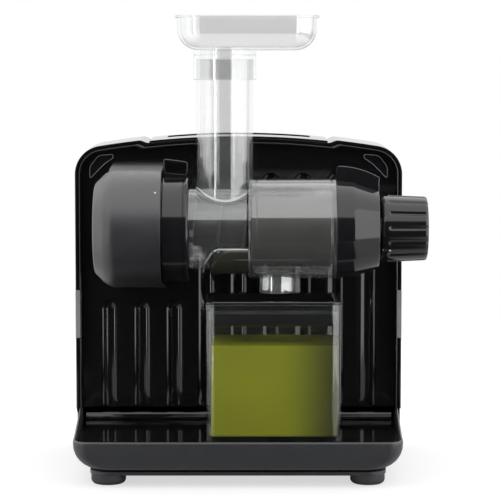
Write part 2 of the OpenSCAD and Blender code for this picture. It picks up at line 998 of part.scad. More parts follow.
module motor_can() {
    color("#8f9296")
    place()
    difference() {
        along_x(motor_x, motor_y)
            cylinder(r = motor_r, h = motor_len);
        along_x(motor_x + motor_end_t, motor_y)
            cylinder(r = motor_r - motor_t, h = motor_len - 2 * motor_end_t);
        along_x(motor_x - 1, motor_y)
            cylinder(r = motor_bearing_r, h = motor_len + 2);
        for (p = plate_screw_places)
            translate([motor_x - 1, p[0], p[1]])
                rotate([0, 90, 0])
                    cylinder(r = screw_r, h = motor_end_t + 1);
    }
}

stator_len = 34;
stator_x = motor_x + (motor_len - stator_len) / 2;
rotor_r = 14.4;

module motor_stator() {
    color("#9a4a22")
    place()
    difference() {
        along_x(stator_x, motor_y)
            cylinder(r = motor_r - motor_t, h = stator_len);
        along_x(stator_x - 1, motor_y)
            cylinder(r = rotor_r + 0.6, h = stator_len + 2);
    }
}

module motor_rotor() {
    color("#77797d")
    place() {
        along_x(wheel_x1 - 1, motor_y)
            cylinder(r = motor_shaft_r, h = motor_right - wheel_x1 + 3);
        along_x(stator_x + 1, motor_y)
            cylinder(r = rotor_r, h = stator_len - 2);
    }
}

module motor_pinion() {
    color("#c9a75a")
    place()
    difference() {
        along_x(wheel_x1, motor_y)
            spur_gear(pinion_n, gear_w, pinion_n % 2 == 0 ? 180 / pinion_n : 0);
        along_x(wheel_x1 - 1, motor_y)
            cylinder(r = motor_shaft_r, h = gear_w + 2);
    }
}

module motor_bearings() {
    color("#b9bcc0")
    place() {
        ring_bearing(motor_x - 0.5, motor_y, motor_bearing_r, motor_shaft_r + run_play, motor_end_t + 0.5);
        ring_bearing(motor_right - motor_end_t, motor_y, motor_bearing_r, motor_shaft_r + run_play, motor_end_t + 1);
    }
}

board_x = 20;
board_z = 64;
board_gap = 12;
board_y = wall_y + wall_t + board_gap;
board_l = 80;
board_h = 50;
board_t = 1.6;
board_post_r = 3;
board_post_edge = 5;
capacitor_r = 14;
capacitor_len = 52;
capacitor_z = board_z + board_h + capacitor_r + 20;

module control_board() {
    color("#2f6b3c")
    place() {
        translate([board_x, board_y, board_z])
            cube([board_l, board_t, board_h]);
        for (dx = [board_post_edge, board_l - board_post_edge], dz = [board_post_edge, board_h - board_post_edge])
            translate([board_x + dx, board_y + tiny, board_z + dz])
                rotate([90, 0, 0])
                    cylinder(r = board_post_r, h = board_gap + tiny);
        // transformer and heat sink
        translate([board_x + 10, board_y + board_t - 0.1, board_z + 24])
            cube([18, 15, 14]);
        translate([board_x + 40, board_y + board_t - 0.1, board_z + 10])
            cube([12, 4, 20]);
    }
}

module run_capacitor() {
    color("#d6d6d2")
    place()
    along_x(board_x - 2, wall_y + wall_t + capacitor_r, capacitor_z)
        cylinder(r = capacitor_r, h = capacitor_len);
}

module switch_bezel() {
    color("#101012")
    place()
    difference() {
        union() {
            translate([-body_w / 2 - 1.4, switch_y - switch_w / 2 - 3, switch_z - switch_h / 2 - 3])
                cube([1.4, switch_w + 6, switch_h + 6]);
            translate([-body_w / 2 - tiny, switch_y - switch_w / 2 - 1.5, switch_z - switch_h / 2 - 1.5])
                cube([13, switch_w + 3, switch_h + 3]);
        }
        translate([-body_w / 2 - 2, switch_y - switch_w / 2, switch_z - switch_h / 2])
            cube([13, switch_w, switch_h]);
    }
}

module power_switch() {
    color("#b3251e")
    place()
    translate([-body_w / 2 + 3, switch_y, switch_z])
        rotate([90, 0, 0])
            translate([0, 0, -switch_w / 2 + play])
                linear_extrude(height = switch_w - 2 * play)
                    polygon([[-1, -switch_h / 2 + 1.2], [5, -switch_h / 2 + 2.2], [5, switch_h / 2 - 2.2],
                        [-1, switch_h / 2 - 1.2], [-4.6, switch_h / 2 - 1.6], [-3.4, 0], [-4.6, -switch_h / 2 + 1.6]]);
}

module cord_inlet() {
    color("#151517")
    place()
    translate([-body_w / 2, switch_y, inlet_z])
        rotate([0, 90, 0])
            difference() {
                union() {
                    translate([0, 0, -inlet_flange])
                        cylinder(r = inlet_r + 5, h = inlet_flange);
                    cylinder(r = inlet_r + 3, h = shell_t + 6);
                }
                translate([0, 0, -4])
                    cylinder(r = inlet_r, h = shell_t + 12);
            }
}

// ---------- locking ring ----------

module locking_ring() {
    color("#35363a")
    place() {
        difference() {
            along_x(ring_left)
                rotate_extrude()
                    polygon([[spigot_r + play, 0], [ring_r - 1, 0], [ring_r, 1], [ring_r, ring_len - 1.5],
                        [ring_r - 1.5, ring_len], [drum_flange_r + play, ring_len],
                        [drum_flange_r + play, spigot_len + 0.5], [spigot_r + play, spigot_len + 0.5]]);
        }
        translate([ring_left + 0.5, axis_y - 8, axis_z])
            difference() {
                translate([0, 0, sqrt(pow(ring_r, 2) - 64) - 1.2])
                    cube([ring_len - 1, 16, ring_tab_top - sqrt(pow(ring_r, 2) - 64) + 1.2]);
                translate([3, -1, ring_r + 3])
                    cube([ring_len - 7, 18, ring_tab_top - ring_r - 6]);
            }
    }
}

// ---------- juicing drum ----------

module feed_outside() {
    along_x(drum_left)
        cylinder(r = feed_r, h = step_x - drum_left);
    along_x(drum_left)
        cylinder(r = drum_flange_r, h = drum_flange_w);
    along_x(ring_right + 0.6)
        cylinder(r = feed_r + 2, h = 2.5);
}

module screen_outside() {
    along_x(step_x)
        cylinder(r = drum_r, h = drum_right - step_x);
}

module throat() {
    translate([chute_x, axis_y, axis_z])
        cylinder(r = throat_r, h = chute_top - axis_z);
}

module feed_housing() {
    color("#b9bcbc", 0.45)
    place()
    difference() {
        feed_outside();
        along_x(drum_left + drum_t)
            cylinder(r = feed_bore, h = step_x - drum_left);
        along_x(drum_left - 1)
            cylinder(r = hub_r + play, h = drum_t + 2);
        throat();
    }
}

module juicing_drum() {
    color("#b9bcbc", 0.45)
    place()
    difference() {
        screen_outside();
        along_x(step_x - 1)
            cylinder(r = feed_bore, h = drum_t + 2);
        along_x(step_x + drum_t)
            cylinder(r = drum_bore, h = drum_right - step_x);
        throat();
        translate([spout_x, axis_y, spout_bottom - 1])
            cylinder(r = spout_r - drum_t, h = axis_z - spout_bottom);
    }
}

module feed_chute() {
    color("#b9bcbc", 0.45)
    place()
    difference() {
        translate([chute_x, axis_y, axis_z])
            cylinder(r = chute_r, h = chute_top - axis_z);
        translate([chute_x, axis_y, axis_z - 1])
            cylinder(r = chute_bore_r, h = chute_top - axis_z + 2);
        // wider throat below the bore that guides the pusher
        translate([chute_x, axis_y, axis_z - 1])
            cylinder(r = throat_r, h = feed_r + 1);
        along_x(drum_left)
            cylinder(r = feed_r, h = drum_right - drum_left);
        screen_outside();
    }
}

module juice_spout() {
    color("#d5d8d5", 0.6)
    place()
    difference() {
        translate([spout_x, axis_y, spout_bottom])
            cylinder(r = spout_r, h = axis_z - spout_bottom);
        translate([spout_x, axis_y, spout_bottom - 1])
            cylinder(r = spout_r - drum_t, h = axis_z - spout_bottom + 2);
        along_x(drum_left)
            cylinder(r = drum_r, h = 2 * (drum_right - drum_left));
    }
}

module drum_gasket() {
    color("#1a1a1c")
    place()
    along_x(drive_right + spigot_len + tiny)
        difference() {
            cylinder(r = spigot_r - 1, h = 0.6 - 2 * tiny);
            translate([0, 0, -1])
                cylinder(r = spigot_r - 3.5, h = 3);
        }
}

module juicing_screen() {
    color("#9b9d9f")
    place()
    difference() {
        union() {
            along_x(screen_left)
                cylinder(r = screen_ro, h = screen_right - screen_left);
            along_x(step_x + drum_t + play)
                cylinder(r = drum_bore - play, h = screen_left - step_x - drum_t);
        }
        along_x(step_x)
            cylinder(r = screen_ri, h = screen_right);
        for (i = [0:12])
            translate([screen_left + 5 + i * 5, axis_y - 14, axis_z - screen_ro - 1])
                cube([1.4, 28, 20]);
    }
}

module auger() {
    turns = (auger_right - auger_left - flight_t) / flight_pitch;
    steps = floor(turns * 360 / flight_step);
    rings = [for (i = [0:steps]) each flight_ring(i * flight_step, auger_left + i * flight_step / 360 * flight_pitch)];
    faces = concat([[3, 2, 1, 0]],
        [for (i = [0:steps - 1], j = [0:3]) [4 * i + j, 4 * i + (j + 1) % 4, 4 * i + 4 + (j + 1) % 4]],
        [for (i = [0:steps - 1], j = [0:3]) [4 * i + j, 4 * i + 4 + (j + 1) % 4, 4 * i + 4 + j]],
        [[4 * steps, 4 * steps + 1, 4 * steps + 2, 4 * steps + 3]]);
    color("#2c2d30")
    place()
    difference() {
        union() {
            along_x(auger_left)
                cylinder(r1 = core_r0, r2 = core_r1, h = auger_right - auger_left);
            along_x(drum_left - 0.3)
                cylinder(r = hub_r, h = 10);
            along_x(auger_right - tiny)
                cylinder(r = nose_r, h = nose_len);
            translate([0, axis_y, axis_z])
                polyhedron(rings, faces, convexity = 6);
        }
        along_x(drum_left - 1)
            cylinder(r = hex_af / sqrt(3) + play, h = hex_right - drum_left + 3, $fn = 6);
    }
}

// ---------- end cap and knob ----------

cap_t = 2.8;
bush_r = nose_r + 4.6;
outlet_x = cap_left + 17;

module end_cap() {
    color("#2e2f33")
    place() {
        difference() {
            along_x(cap_left)
                rotate_extrude()
                    polygon([[0, 0], [cap_r, 0], [cap_r, 5], [cap_r_end, cap_len - 1], [cap_r_end - 1, cap_len], [0, cap_len]]);
            along_x(cap_left - 1)
                rotate_extrude()
                    polygon([[0, 0], [cap_r - cap_t, 0], [cap_r - cap_t, 5], [cap_r_end - cap_t, cap_len - cap_t], [0, cap_len - cap_t]]);
            along_x(cap_left)
                cylinder(r = bush_r, h = cap_len + 1);
            translate([outlet_x - 9, axis_y - 11, axis_z - cap_r - 1])
                cube([18, 22, 24]);
        }
        translate([cap_left, axis_y - 9, axis_z])
            difference() {
                translate([0, 0, cap_r - 3.2])
                    cube([cap_len, 18, cap_tab_top - cap_r + 3.2]);
                along_x(-1, 9, 0)
                    cylinder(r1 = cap_r - 0.9, r2 = cap_r_end + 0.2, h = cap_len + 2);
                translate([cap_len, -1, cap_tab_top - 1])
                    rotate([0, -76, 0])
                        cube([60, 20, 60]);
            }
    }
}

module cap_gasket() {
    color("#151517")
    place()
    ring_bearing(cap_left - play + tiny, axis_y, cap_r - 0.4, cap_r - cap_t + 0.2, play - 2 * tiny);
}

module auger_bush() {
    color("#d9d7cf")
    place()
    along_x(auger_right + 2)
        difference() {
            cylinder(r = bush_r, h = cap_right - auger_right - 2);
            translate([0, 0, -1])
                cylinder(r = nose_r + run_play, h = cap_len + 4);
        }
}

knob_flutes = 18;
knob_neck = 5;

module adjusting_knob() {
    color("#1b1b1e")
    place() {
        difference() {
            along_x(knob_left + knob_neck)
                cylinder(r1 = knob_r, r2 = knob_r_end, h = knob_len - knob_neck);
            for (k = [0:knob_flutes - 1])
                along_x(knob_left + knob_neck + 2)
                    rotate([0, 0, (k + 0.5) * 360 / knob_flutes])
                        translate([knob_r_end + 1.2, 0, 0])
                            cylinder(r = 2.6, h = knob_len);
        }
        along_x(knob_left)
            cylinder(r = knob_r - 1.8, h = knob_neck + tiny);
    }
}

module knob_stem() {
    stem_left = auger_right + nose_len + 6;
    color("#b9bcc0")
    place()
    along_x(stem_left)
        cylinder(r = nose_r, h = knob_left - stem_left);
}

// ---------- hopper ----------

hopper_corner_r = 24;

// Half of a tray's section, from its middle to half, with a round lower edge
module edge_section(half, h, r) {
    square([half - r, h]);
    translate([0, r])
        square([half, h - r]);
    intersection() {
        translate([half - r, r])
            circle(r = r);
        square([half, h]);
    }
}

// A block of the tray's shape: round corners in plan and round lower edges
module tray_form(l, w, h, corner, edge) {
    for (sx = [-1, 1], sy = [-1, 1])
        translate([sx * (l / 2 - corner), sy * (w / 2 - corner), 0])
            rotate_extrude()
                edge_section(corner, h, edge);
    for (m = [0, 1]) {
        rotate([90, 0, 90])
            translate([0, 0, -l / 2 + corner])
                linear_extrude(height = l - 2 * corner)
                    mirror([m, 0])
                        edge_section(w / 2, h, edge);
        rotate([90, 0, 0])
            translate([0, 0, -w / 2 + corner])
                linear_extrude(height = w - 2 * corner)
                    mirror([m, 0])
                        edge_section(l / 2, h, edge);
    }
}

module hopper_form(inset, h) {
    tray_form(hopper_l - 2 * inset, hopper_w - 2 * inset, h, hopper_corner_r - inset,
        hopper_edge_r + hopper_rim - inset);
}

hopper_x = chute_x + hopper_shift;
hopper_floor = hopper_top - hopper_depth;
collar_bottom = hopper_floor + hopper_t - collar_len;
hopper_rim = 2;

module hopper() {
    color("#d9dada", 0.4)
    place()
    difference() {
        union() {
            translate([hopper_x, axis_y, hopper_floor])
                hopper_form(hopper_rim, hopper_depth);
            translate([hopper_x, axis_y, hopper_top - hopper_rim])
                linear_extrude(height = hopper_rim)
                    round_rect(hopper_l, hopper_w, hopper_corner_r);
        }
        translate([hopper_x, axis_y, hopper_floor + hopper_t])
            hopper_form(hopper_rim + hopper_t, hopper_depth);
        translate([chute_x, axis_y, hopper_floor - 1])
            cylinder(r = chute_bore_r, h = hopper_t + 2);
    }
}

module hopper_collar() {
    color("#d9dada", 0.4)
    place()
    difference() {
        translate([chute_x, axis_y, collar_bottom])
            cylinder(r = collar_r, h = hopper_floor - collar_bottom);
        translate([chute_x, axis_y, collar_bottom - 1])
            cylinder(r = chute_r + play, h = chute_top + play - collar_bottom + 1);
        translate([chute_x, axis_y, collar_bottom])
            cylinder(r = chute_bore_r, h = collar_len + 1);
    }
}

// ---------- container ----------

module cup_plan(inset = 0) {
    round_rect(cup_w - 2 * inset, cup_d - 2 * inset, cup_corner - inset);
}

lid_h = 20;
lid_flange = 2.4;

module juice_container() {
    color("#c8cac6", 0.4)
    place()
    translate([cup_x, cup_y, cup_bottom])
        difference() {
            linear_extrude(height = cup_h - lid_flange)
                cup_plan();
            translate([0, 0, 4])
                linear_extrude(height = cup_h)
                    cup_plan(cup_t);
        }
}

module lid_opening_2d(grow = 0) {
    translate([spout_x - cup_x, axis_y - cup_y])
        circle(r = spout_r + 2 + grow);
}

module container_lid() {
    color("#2b2c30")
    place()
    translate([cup_x, cup_y, cup_bottom + cup_h - lid_flange])
        difference() {
            union() {
                linear_extrude(height = lid_flange)
                    cup_plan(0.4);
                translate([0, 0, -lid_h])
                    linear_extrude(height = lid_h + tiny)
                        cup_plan(cup_t + 1.6);
            }
            translate([0, 0, -lid_h + 2.4])
                linear_extrude(height = lid_h + 5)
                    cup_plan(cup_t + 1.6 + 2);
            translate([0, 0, -lid_h - 1])
                linear_extrude(height = lid_h)
                    lid_opening_2d();
        }
}

module lid_seal() {
    color("#d9dcd9")
    place()
    translate([cup_x, cup_y, cup_bottom + cup_h - lid_flange - 8])
        difference() {
            linear_extrude(height = 3)
                cup_plan(cup_t + tiny);
            translate([0, 0, -1])
                linear_extrude(height = 5)
                    cup_plan(cup_t + 1.6 - tiny);
        }
}

main_housing();
left_side();
right_side();
housing_floor();
fluted_wall();
rear_cover();
carry_handle();
side_inlays();
corner_trims();
base_pan();
feet();
drip_tray();
floor_plate();
drive_housing();
drive_front();
gear_plate_outer();
gear_plate_inner();
shaft_bearings();
output_shaft();
output_gear();
idler_gear();
idler_axle();
motor_can();
motor_stator();
motor_rotor();
motor_pinion();
motor_bearings();
run_capacitor();
control_board();
switch_bezel();
power_switch();
cord_inlet();
locking_ring();
shaft_seal();
feed_housing();
juicing_drum();
feed_chute();
juice_spout();
drum_gasket();
juicing_screen();
auger();
end_cap();
cap_gasket();
auger_bush();
adjusting_knob();
knob_stem();
hopper();
hopper_collar();
juice_container();
container_lid();
lid_seal();
base_screws();
plate_screws();
cover_screws();
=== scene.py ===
import json
import math

import bmesh
import bpy
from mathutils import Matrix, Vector, geometry


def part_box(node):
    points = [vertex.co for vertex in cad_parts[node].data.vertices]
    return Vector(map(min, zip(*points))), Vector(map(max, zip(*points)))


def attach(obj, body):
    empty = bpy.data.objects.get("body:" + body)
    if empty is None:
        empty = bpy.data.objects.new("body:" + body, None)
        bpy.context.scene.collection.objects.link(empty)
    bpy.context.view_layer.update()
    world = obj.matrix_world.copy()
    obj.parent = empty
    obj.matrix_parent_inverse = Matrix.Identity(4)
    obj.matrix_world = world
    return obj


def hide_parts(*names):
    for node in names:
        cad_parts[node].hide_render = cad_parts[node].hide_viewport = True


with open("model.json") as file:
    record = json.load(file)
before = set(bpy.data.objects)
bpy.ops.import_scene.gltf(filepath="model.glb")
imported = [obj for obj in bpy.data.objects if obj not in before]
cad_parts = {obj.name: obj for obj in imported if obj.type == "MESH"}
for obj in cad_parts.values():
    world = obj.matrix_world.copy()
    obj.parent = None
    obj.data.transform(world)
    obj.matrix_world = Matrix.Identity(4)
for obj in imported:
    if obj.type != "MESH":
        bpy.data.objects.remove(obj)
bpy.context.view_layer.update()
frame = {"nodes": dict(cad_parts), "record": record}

# ------------------------------------------------------------------ sizes, read from the frame
# All modelling below is in millimetres: x from the housing's middle, y from the auger axis
# (positive to the back), z from the table.
MM = 0.001
housing_lo, housing_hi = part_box("main_housing")
knob_lo, knob_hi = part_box("adjusting_knob")
ORIGIN = Vector(((housing_lo.x + housing_hi.x) / 2, (knob_lo.y + knob_hi.y) / 2, 0))


def sizes(node):
    """A node's lowest and highest corner in the modelling millimetres."""
    lo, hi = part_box(node)
    return (lo - ORIGIN) / MM, (hi - ORIGIN) / MM


HOUSING = sizes("main_housing")
WALL = sizes("fluted_wall")
TRAY = sizes("drip_tray")
PLATE = sizes("floor_plate")
DRIVE = sizes("drive_housing")
RING = sizes("locking_ring")
FEED = sizes("feed_housing")
DRUM = sizes("juicing_drum")
CHUTE = sizes("feed_chute")
AUGER = sizes("auger")
CAP = sizes("end_cap")
KNOB = sizes("adjusting_knob")
HOPPER = sizes("hopper")
COLLAR = sizes("hopper_collar")
CUP = sizes("juice_container")
LID = sizes("container_lid")
HANDLE = sizes("carry_handle")
FLOOR = sizes("housing_floor")

AXIS_Z = (KNOB[0].z + KNOB[1].z) / 2
WALL_Y = WALL[0].y
RIM_Y = HOUSING[0].y
BACK_Y = HOUSING[1].y
HALF_W = HOUSING[1].x
FOOT_Z = FLOOR[0].z
LIP_Y = TRAY[0].y
TRAY_END = TRAY[1].y
TRAY_TOP = TRAY[1].z
LIP_TOP = TRAY_TOP - 8.5
LIP_HALF = TRAY[1].x - 3.5
PLATE_TOP = PLATE[1].z
CORNER_R = 25
CROWN_R = 746
CROWN_FALL = 0.045
GRIP_DROP = 3
GRIP_SLOPE = 9
CROWN_Z = HANDLE[1].z + 1.4 - CROWN_R
NOTCH_W = HANDLE[1].x + 0.3
CORNER_X = HALF_W - CORNER_R
CORNER_Z = CROWN_Z + math.sqrt((CROWN_R - CORNER_R) ** 2 - CORNER_X ** 2)
FLUTE_PITCH = 28.1
FLUTE_W = 15.8
FLUTE_TOP = 253
FLUTE_LOW_TOP = 141
FLUTES = 9
SHORT_FLUTES = 3      # at the left, under the drive
FLUTE_SIDE = 5.8      # from a flute's side to where its hollow is deepest
WALL_FOOT = 46        # the flat wall ends here and the cove begins
COVE_R = 7
COVE_LOW = 36.4
LIP_R = 20            # rounding under the tray's front lip
DRIVE_R = 49.3
BEVEL = 13
NECK_Y = 24           # where the drive's neck leaves the round
FEED_R, DRUM_R, WALL_T = 34.4, 42, 2.6
CHUTE_R, BORE_R = 23.6, 20.8
SPOUT_R, SPOUT_BORE = 15.1, 12.5
HOPPER_R = 24
HOPPER_CURVE = 18     # rounding of the hopper's floor into its sides
FLIGHT_PITCH, FLIGHT_R = 22, 29.6
JUICE_LEVEL = 117
LID_HOLE_R = 14


# ------------------------------------------------------------------ materials
def nodes_of(name):
    mat = bpy.data.materials.new(name)
    mat.use_nodes = True
    tree = mat.node_tree
    out = tree.nodes["Material Output"]
    return mat, tree, tree.nodes["Principled BSDF"], out


def math_node(tree, op, *values, clamp=False):
    """A math node, whose values are numbers or sockets."""
    node = tree.nodes.new("ShaderNodeMath")
    node.operation = op
    node.use_clamp = clamp
    for socket, value in zip(node.inputs, values):
        if isinstance(value, (int, float)):
            socket.default_value = value
        else:
            tree.links.new(value, socket)
    return node.outputs["Value"]


def ramp(tree, value, lo, hi, a, b, kind="SMOOTHSTEP"):
    """A value mapped from lo and hi to a and b."""
    node = tree.nodes.new("ShaderNodeMapRange")
    node.interpolation_type = kind
    for key, v in zip(("From Min", "From Max", "To Min", "To Max"), (lo, hi, a, b)):
        node.inputs[key].default_value = v
    tree.links.new(value, node.inputs["Value"])
    return node.outputs["Result"]


def axes(tree, space="Object"):
    """The x, y and z sockets of a place."""
    coord = tree.nodes.new("ShaderNodeTexCoord")
    split = tree.nodes.new("ShaderNodeSeparateXYZ")
    tree.links.new(coord.outputs[space], split.inputs["Vector"])
    return [split.outputs[k] for k in "XYZ"]


def grain(tree, scale, low, high):
    """A noise in object space, mapped from low to high."""
    coord = tree.nodes.new("ShaderNodeTexCoord")
    noise = tree.nodes.new("ShaderNodeTexNoise")
    noise.inputs["Scale"].default_value = scale
    noise.inputs["Detail"].default_value = 2
    tree.links.new(coord.outputs["Object"], noise.inputs["Vector"])
    return ramp(tree, noise.outputs["Fac"], 0.3, 0.7, low, high, "LINEAR")


def tinted(tree, fac, dark, light):
    mix = tree.nodes.new("ShaderNodeMix")
    mix.data_type = "RGBA"
    mix.inputs["A"].default_value = (*dark, 1)
    mix.inputs["B"].default_value = (*light, 1)
    for socket in mix.inputs:
        if socket.name == "Factor" and socket.type == "VALUE":
            tree.links.new(fac, socket)
    return next(o for o in mix.outputs if o.type == "RGBA")


def finish(name, color, rough, metal=0.0, vary=0.06, scale=70, bump=0.0, bump_scale=1500, ior=1.5):
    """An opaque finish with a slight unevenness of colour, gloss and surface."""
    mat, tree, bsdf, _ = nodes_of(name)
    dark = [c * (1 - vary) for c in color]
    light = [min(c * (1 + vary), 1) for c in color]
    tree.links.new(tinted(tree, grain(tree, scale, 0, 1), dark, light), bsdf.inputs["Base Color"])
    tree.links.new(grain(tree, scale * 2, rough * 0.92, rough * 1.08), bsdf.inputs["Roughness"])
    bsdf.inputs["Metallic"].default_value = metal
    bsdf.inputs["IOR"].default_value = ior
    if bump:
        node = tree.nodes.new("ShaderNodeBump")
        node.inputs["Strength"].default_value = bump
        node.inputs["Distance"].default_value = 0.0001
        tree.links.new(grain(tree, bump_scale, 0, 1), node.inputs["Height"])
        tree.links.new(node.outputs["Normal"], bsdf.inputs["Normal"])
    return mat


def coloured(tree, kind, colour):
    node = tree.nodes.new("ShaderNodeBsdf" + kind)
    node.inputs["Color"].default_value = (*colour, 1)
    return node


def mixed(tree, share, first, second):
    node = tree.nodes.new("ShaderNodeMixShader")
    tree.links.new(share, node.inputs["Fac"])
    tree.links.new(first.outputs[0], node.inputs[1])
    tree.links.new(second.outputs[0], node.inputs[2])
    return node


EDGE_POWER, EDGE_MIRROR = 5, 0.85


def clear(name, tint, reflect, milk, haze, rough=0.03):
    """Clear plastic: it lets light straight through, mirrors more at the edges and scatters a little."""
    mat, tree, bsdf, out = nodes_of(name)
    tree.nodes.remove(bsdf)
    through = coloured(tree, "Transparent", tint)
    gloss = coloured(tree, "Glossy", (0.95, 0.96, 0.96))
    tree.links.new(grain(tree, 60, rough * 0.8, rough * 1.2), gloss.inputs["Roughness"])
    facing = tree.nodes.new("ShaderNodeLayerWeight")
    facing.inputs["Blend"].default_value = 0.5
    steep = math_node(tree, "POWER", facing.outputs["Facing"], EDGE_POWER)
    share = math_node(tree, "MULTIPLY_ADD", steep, EDGE_MIRROR, reflect, clamp=True)
    mirror = mixed(tree, share, through, gloss)
    soft = coloured(tree, "Diffuse", haze)
    body = mixed(tree, grain(tree, 40, milk * 0.9, milk * 1.1), mirror, soft)
    tree.links.new(body.outputs[0], out.inputs["Surface"])
    return mat


MATERIALS = {
    "black_gloss": finish("black_gloss", (0.009, 0.009, 0.010), 0.09),
    "dark_gloss": finish("dark_gloss", (0.012, 0.012, 0.014), 0.1),
    "graphite_satin": finish("graphite_satin", (0.045, 0.046, 0.051), 0.4, ior=1.6),
    "gunmetal_satin": finish("gunmetal_satin", (0.014, 0.0145, 0.017), 0.42, ior=1.76),
    "knob_black": finish("knob_black", (0.010, 0.010, 0.011), 0.1),
    "clear_plastic": clear("clear_plastic", (0.945, 0.946, 0.945), 0.08, 0.034, (0.8, 0.81, 0.81)),
    "spout_clear": clear("spout_clear", (0.85, 0.86, 0.86), 0.2, 0.12, (0.75, 0.76, 0.76)),
    "cup_clear": clear("cup_clear", (0.97, 0.975, 0.965), 0.04, 0.008, (0.6, 0.61, 0.58)),
    "auger_dark": finish("auger_dark", (0.02, 0.02, 0.021), 0.25),
    "screen_steel": finish("screen_steel", (0.055, 0.054, 0.046), 0.36, metal=0.3),
    "lid_dark": finish("lid_dark", (0.016, 0.016, 0.018), 0.15),
    "foot_rubber": finish("foot_rubber", (0.035, 0.035, 0.037), 0.55, bump=0.2),
    "seal_rubber": finish("seal_rubber", (0.02, 0.02, 0.02), 0.5, bump=0.1),
    "seal_clear": clear("seal_clear", (0.9, 0.91, 0.9), 0.03, 0.06, (0.5, 0.52, 0.5)),
    "inlay_grey": finish("inlay_grey", (0.3, 0.31, 0.32), 0.4, bump=0.1),
    "steel": finish("steel", (0.55, 0.56, 0.57), 0.22, metal=1.0, bump=0.05),
    "plate_steel": finish("plate_steel", (0.42, 0.43, 0.44), 0.35, metal=1.0, bump=0.1),
    "gear_nylon": finish("gear_nylon", (0.68, 0.64, 0.52), 0.45),
    "brass": finish("brass", (0.6, 0.45, 0.2), 0.3, metal=1.0),
    "copper_winding": finish("copper_winding", (0.4, 0.14, 0.06), 0.35, metal=0.7, bump=0.5),
    "bush_white": finish("bush_white", (0.65, 0.64, 0.6), 0.4),
    "board_green": finish("board_green", (0.03, 0.15, 0.06), 0.4),
    "switch_red": finish("switch_red", (0.45, 0.02, 0.015), 0.2),
    "mark_white": finish("mark_white", (0.75, 0.75, 0.74), 0.4),
    "trough_olive": finish("trough_olive", (0.045, 0.045, 0.033), 0.2),
    "juice": finish("juice", (0.335, 0.36, 0.004), 0.5, vary=0.06, scale=20),
}


def paint_shade_across(name, x0, x1, least):
    """Painted shade: darken a material's colour from x0 to x1 (m), down to a share of it."""
    tree = MATERIALS[name].node_tree
    bsdf = tree.nodes["Principled BSDF"]
    colour = bsdf.inputs["Base Color"]
    source = colour.links[0].from_socket
    mix = tree.nodes.new("ShaderNodeMix")
    mix.data_type = "RGBA"
    mix.blend_type = "MULTIPLY"
    mix.inputs["Factor"].default_value = 1
    tree.links.new(source, mix.inputs["A"])
    tree.links.new(ramp(tree, axes(tree)[0], x0, x1, 1, least), mix.inputs["B"])
    tree.links.new(mix.outputs["Result"], colour)


# painted shade: the juice is darkened towards its right end
paint_shade_across("juice", 0.028, 0.078, 0.14)


# ------------------------------------------------------------------ outlines
def arc(cx, cy, r, start, end, steps):
    """Points of an arc, angles in degrees."""
    turns = [math.radians(start + (end - start) * i / steps) for i in range(steps + 1)]
    return [(cx + r * math.cos(t), cy + r * math.sin(t)) for t in turns]


def circle(cx, cy, r, steps):
    return [(cx + r * math.cos(2 * math.pi * k / steps), cy + r * math.sin(2 * math.pi * k / steps))
            for k in range(steps)]


def fillet(points, radii, steps=6, closed=True):
    """The polygon with each corner rounded by its own radius."""
    n = len(points)
    radii = radii if isinstance(radii, (list, tuple)) else [radii] * n
    out = []
    for i, (p, r) in enumerate(zip(points, radii)):
        p = Vector(p)
        if r <= 0 or (not closed and i in (0, n - 1)):
            out.append(tuple(p))
            continue
        a, b = Vector(points[i - 1]) - p, Vector(points[(i + 1) % n]) - p
        half = a.angle(b) / 2
        reach = min(r / math.tan(half), 0.499 * a.length, 0.499 * b.length)
        r = reach * math.tan(half)
        centre = p + (a.normalized() + b.normalized()).normalized() * (r / math.sin(half))
        first, last = p + a.normalized() * reach - centre, p + b.normalized() * reach - centre
        sweep = math.atan2(first.x * last.y - first.y * last.x, first.dot(last))
        start = math.atan2(first.y, first.x)
        for k in range(steps + 1):
            t = start + sweep * k / steps
            out.append((centre.x + r * math.cos(t), centre.y + r * math.sin(t)))
    return out


def rectangle(cx, cy, w, h, r, steps=8):
    x, y = w / 2, h / 2
    return fillet([(cx - x, cy - y), (cx + x, cy - y), (cx + x, cy + y), (cx - x, cy + y)], r, steps)


def inset(points, d):
    """A closed outline, counter-clockwise, moved inward by d."""
    n = len(points)
    out = []
    for i in range(n):
        p, q, s = Vector(points[i - 1]), Vector(points[i]), Vector(points[(i + 1) % n])
        a, b = (q - p), (s - q)
        if a.length < 1e-6 or b.length < 1e-6:
            a = b = a if a.length > b.length else b
        a, b = a.normalized(), b.normalized()
        na, nb = Vector((-a.y, a.x)), Vector((-b.y, b.x))
        m = (na + nb)
        m = m / max(m.dot(na), 0.3) if m.length > 1e-6 else na
        out.append((q.x + m.x * d, q.y + m.y * d))
    return out


# ------------------------------------------------------------------ meshes
def piece(name, verts, faces, slot, body, replaces=(), sharp=38, weighted=True):
    """A mesh in the row frame, smooth but for edges sharper than sharp degrees."""
    mesh = bpy.data.meshes.new(name)
    mesh.from_pydata([ORIGIN + Vector(v) * MM for v in verts], [], faces)
    bm = bmesh.new()
    bm.from_mesh(mesh)
    bmesh.ops.remove_doubles(bm, verts=bm.verts, dist=1e-6)
    bmesh.ops.dissolve_degenerate(bm, edges=bm.edges, dist=1e-7)
    bmesh.ops.recalc_face_normals(bm, faces=bm.faces)
    for f in bm.faces:
        f.smooth = True
    for e in bm.edges:
        e.smooth = len(e.link_faces) == 2 and e.calc_face_angle(0) < math.radians(sharp)
    bm.to_mesh(mesh)
    bm.free()
    ob = bpy.data.objects.new(name, mesh)
    bpy.context.scene.collection.objects.link(ob)
    ob.data.materials.append(MATERIALS[slot])
    if weighted:
        mod = ob.modifiers.new("normals", "WEIGHTED_NORMAL")
        mod.keep_sharp = True
    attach(ob, body)
    if replaces:
        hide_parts(*replaces)
    return ob


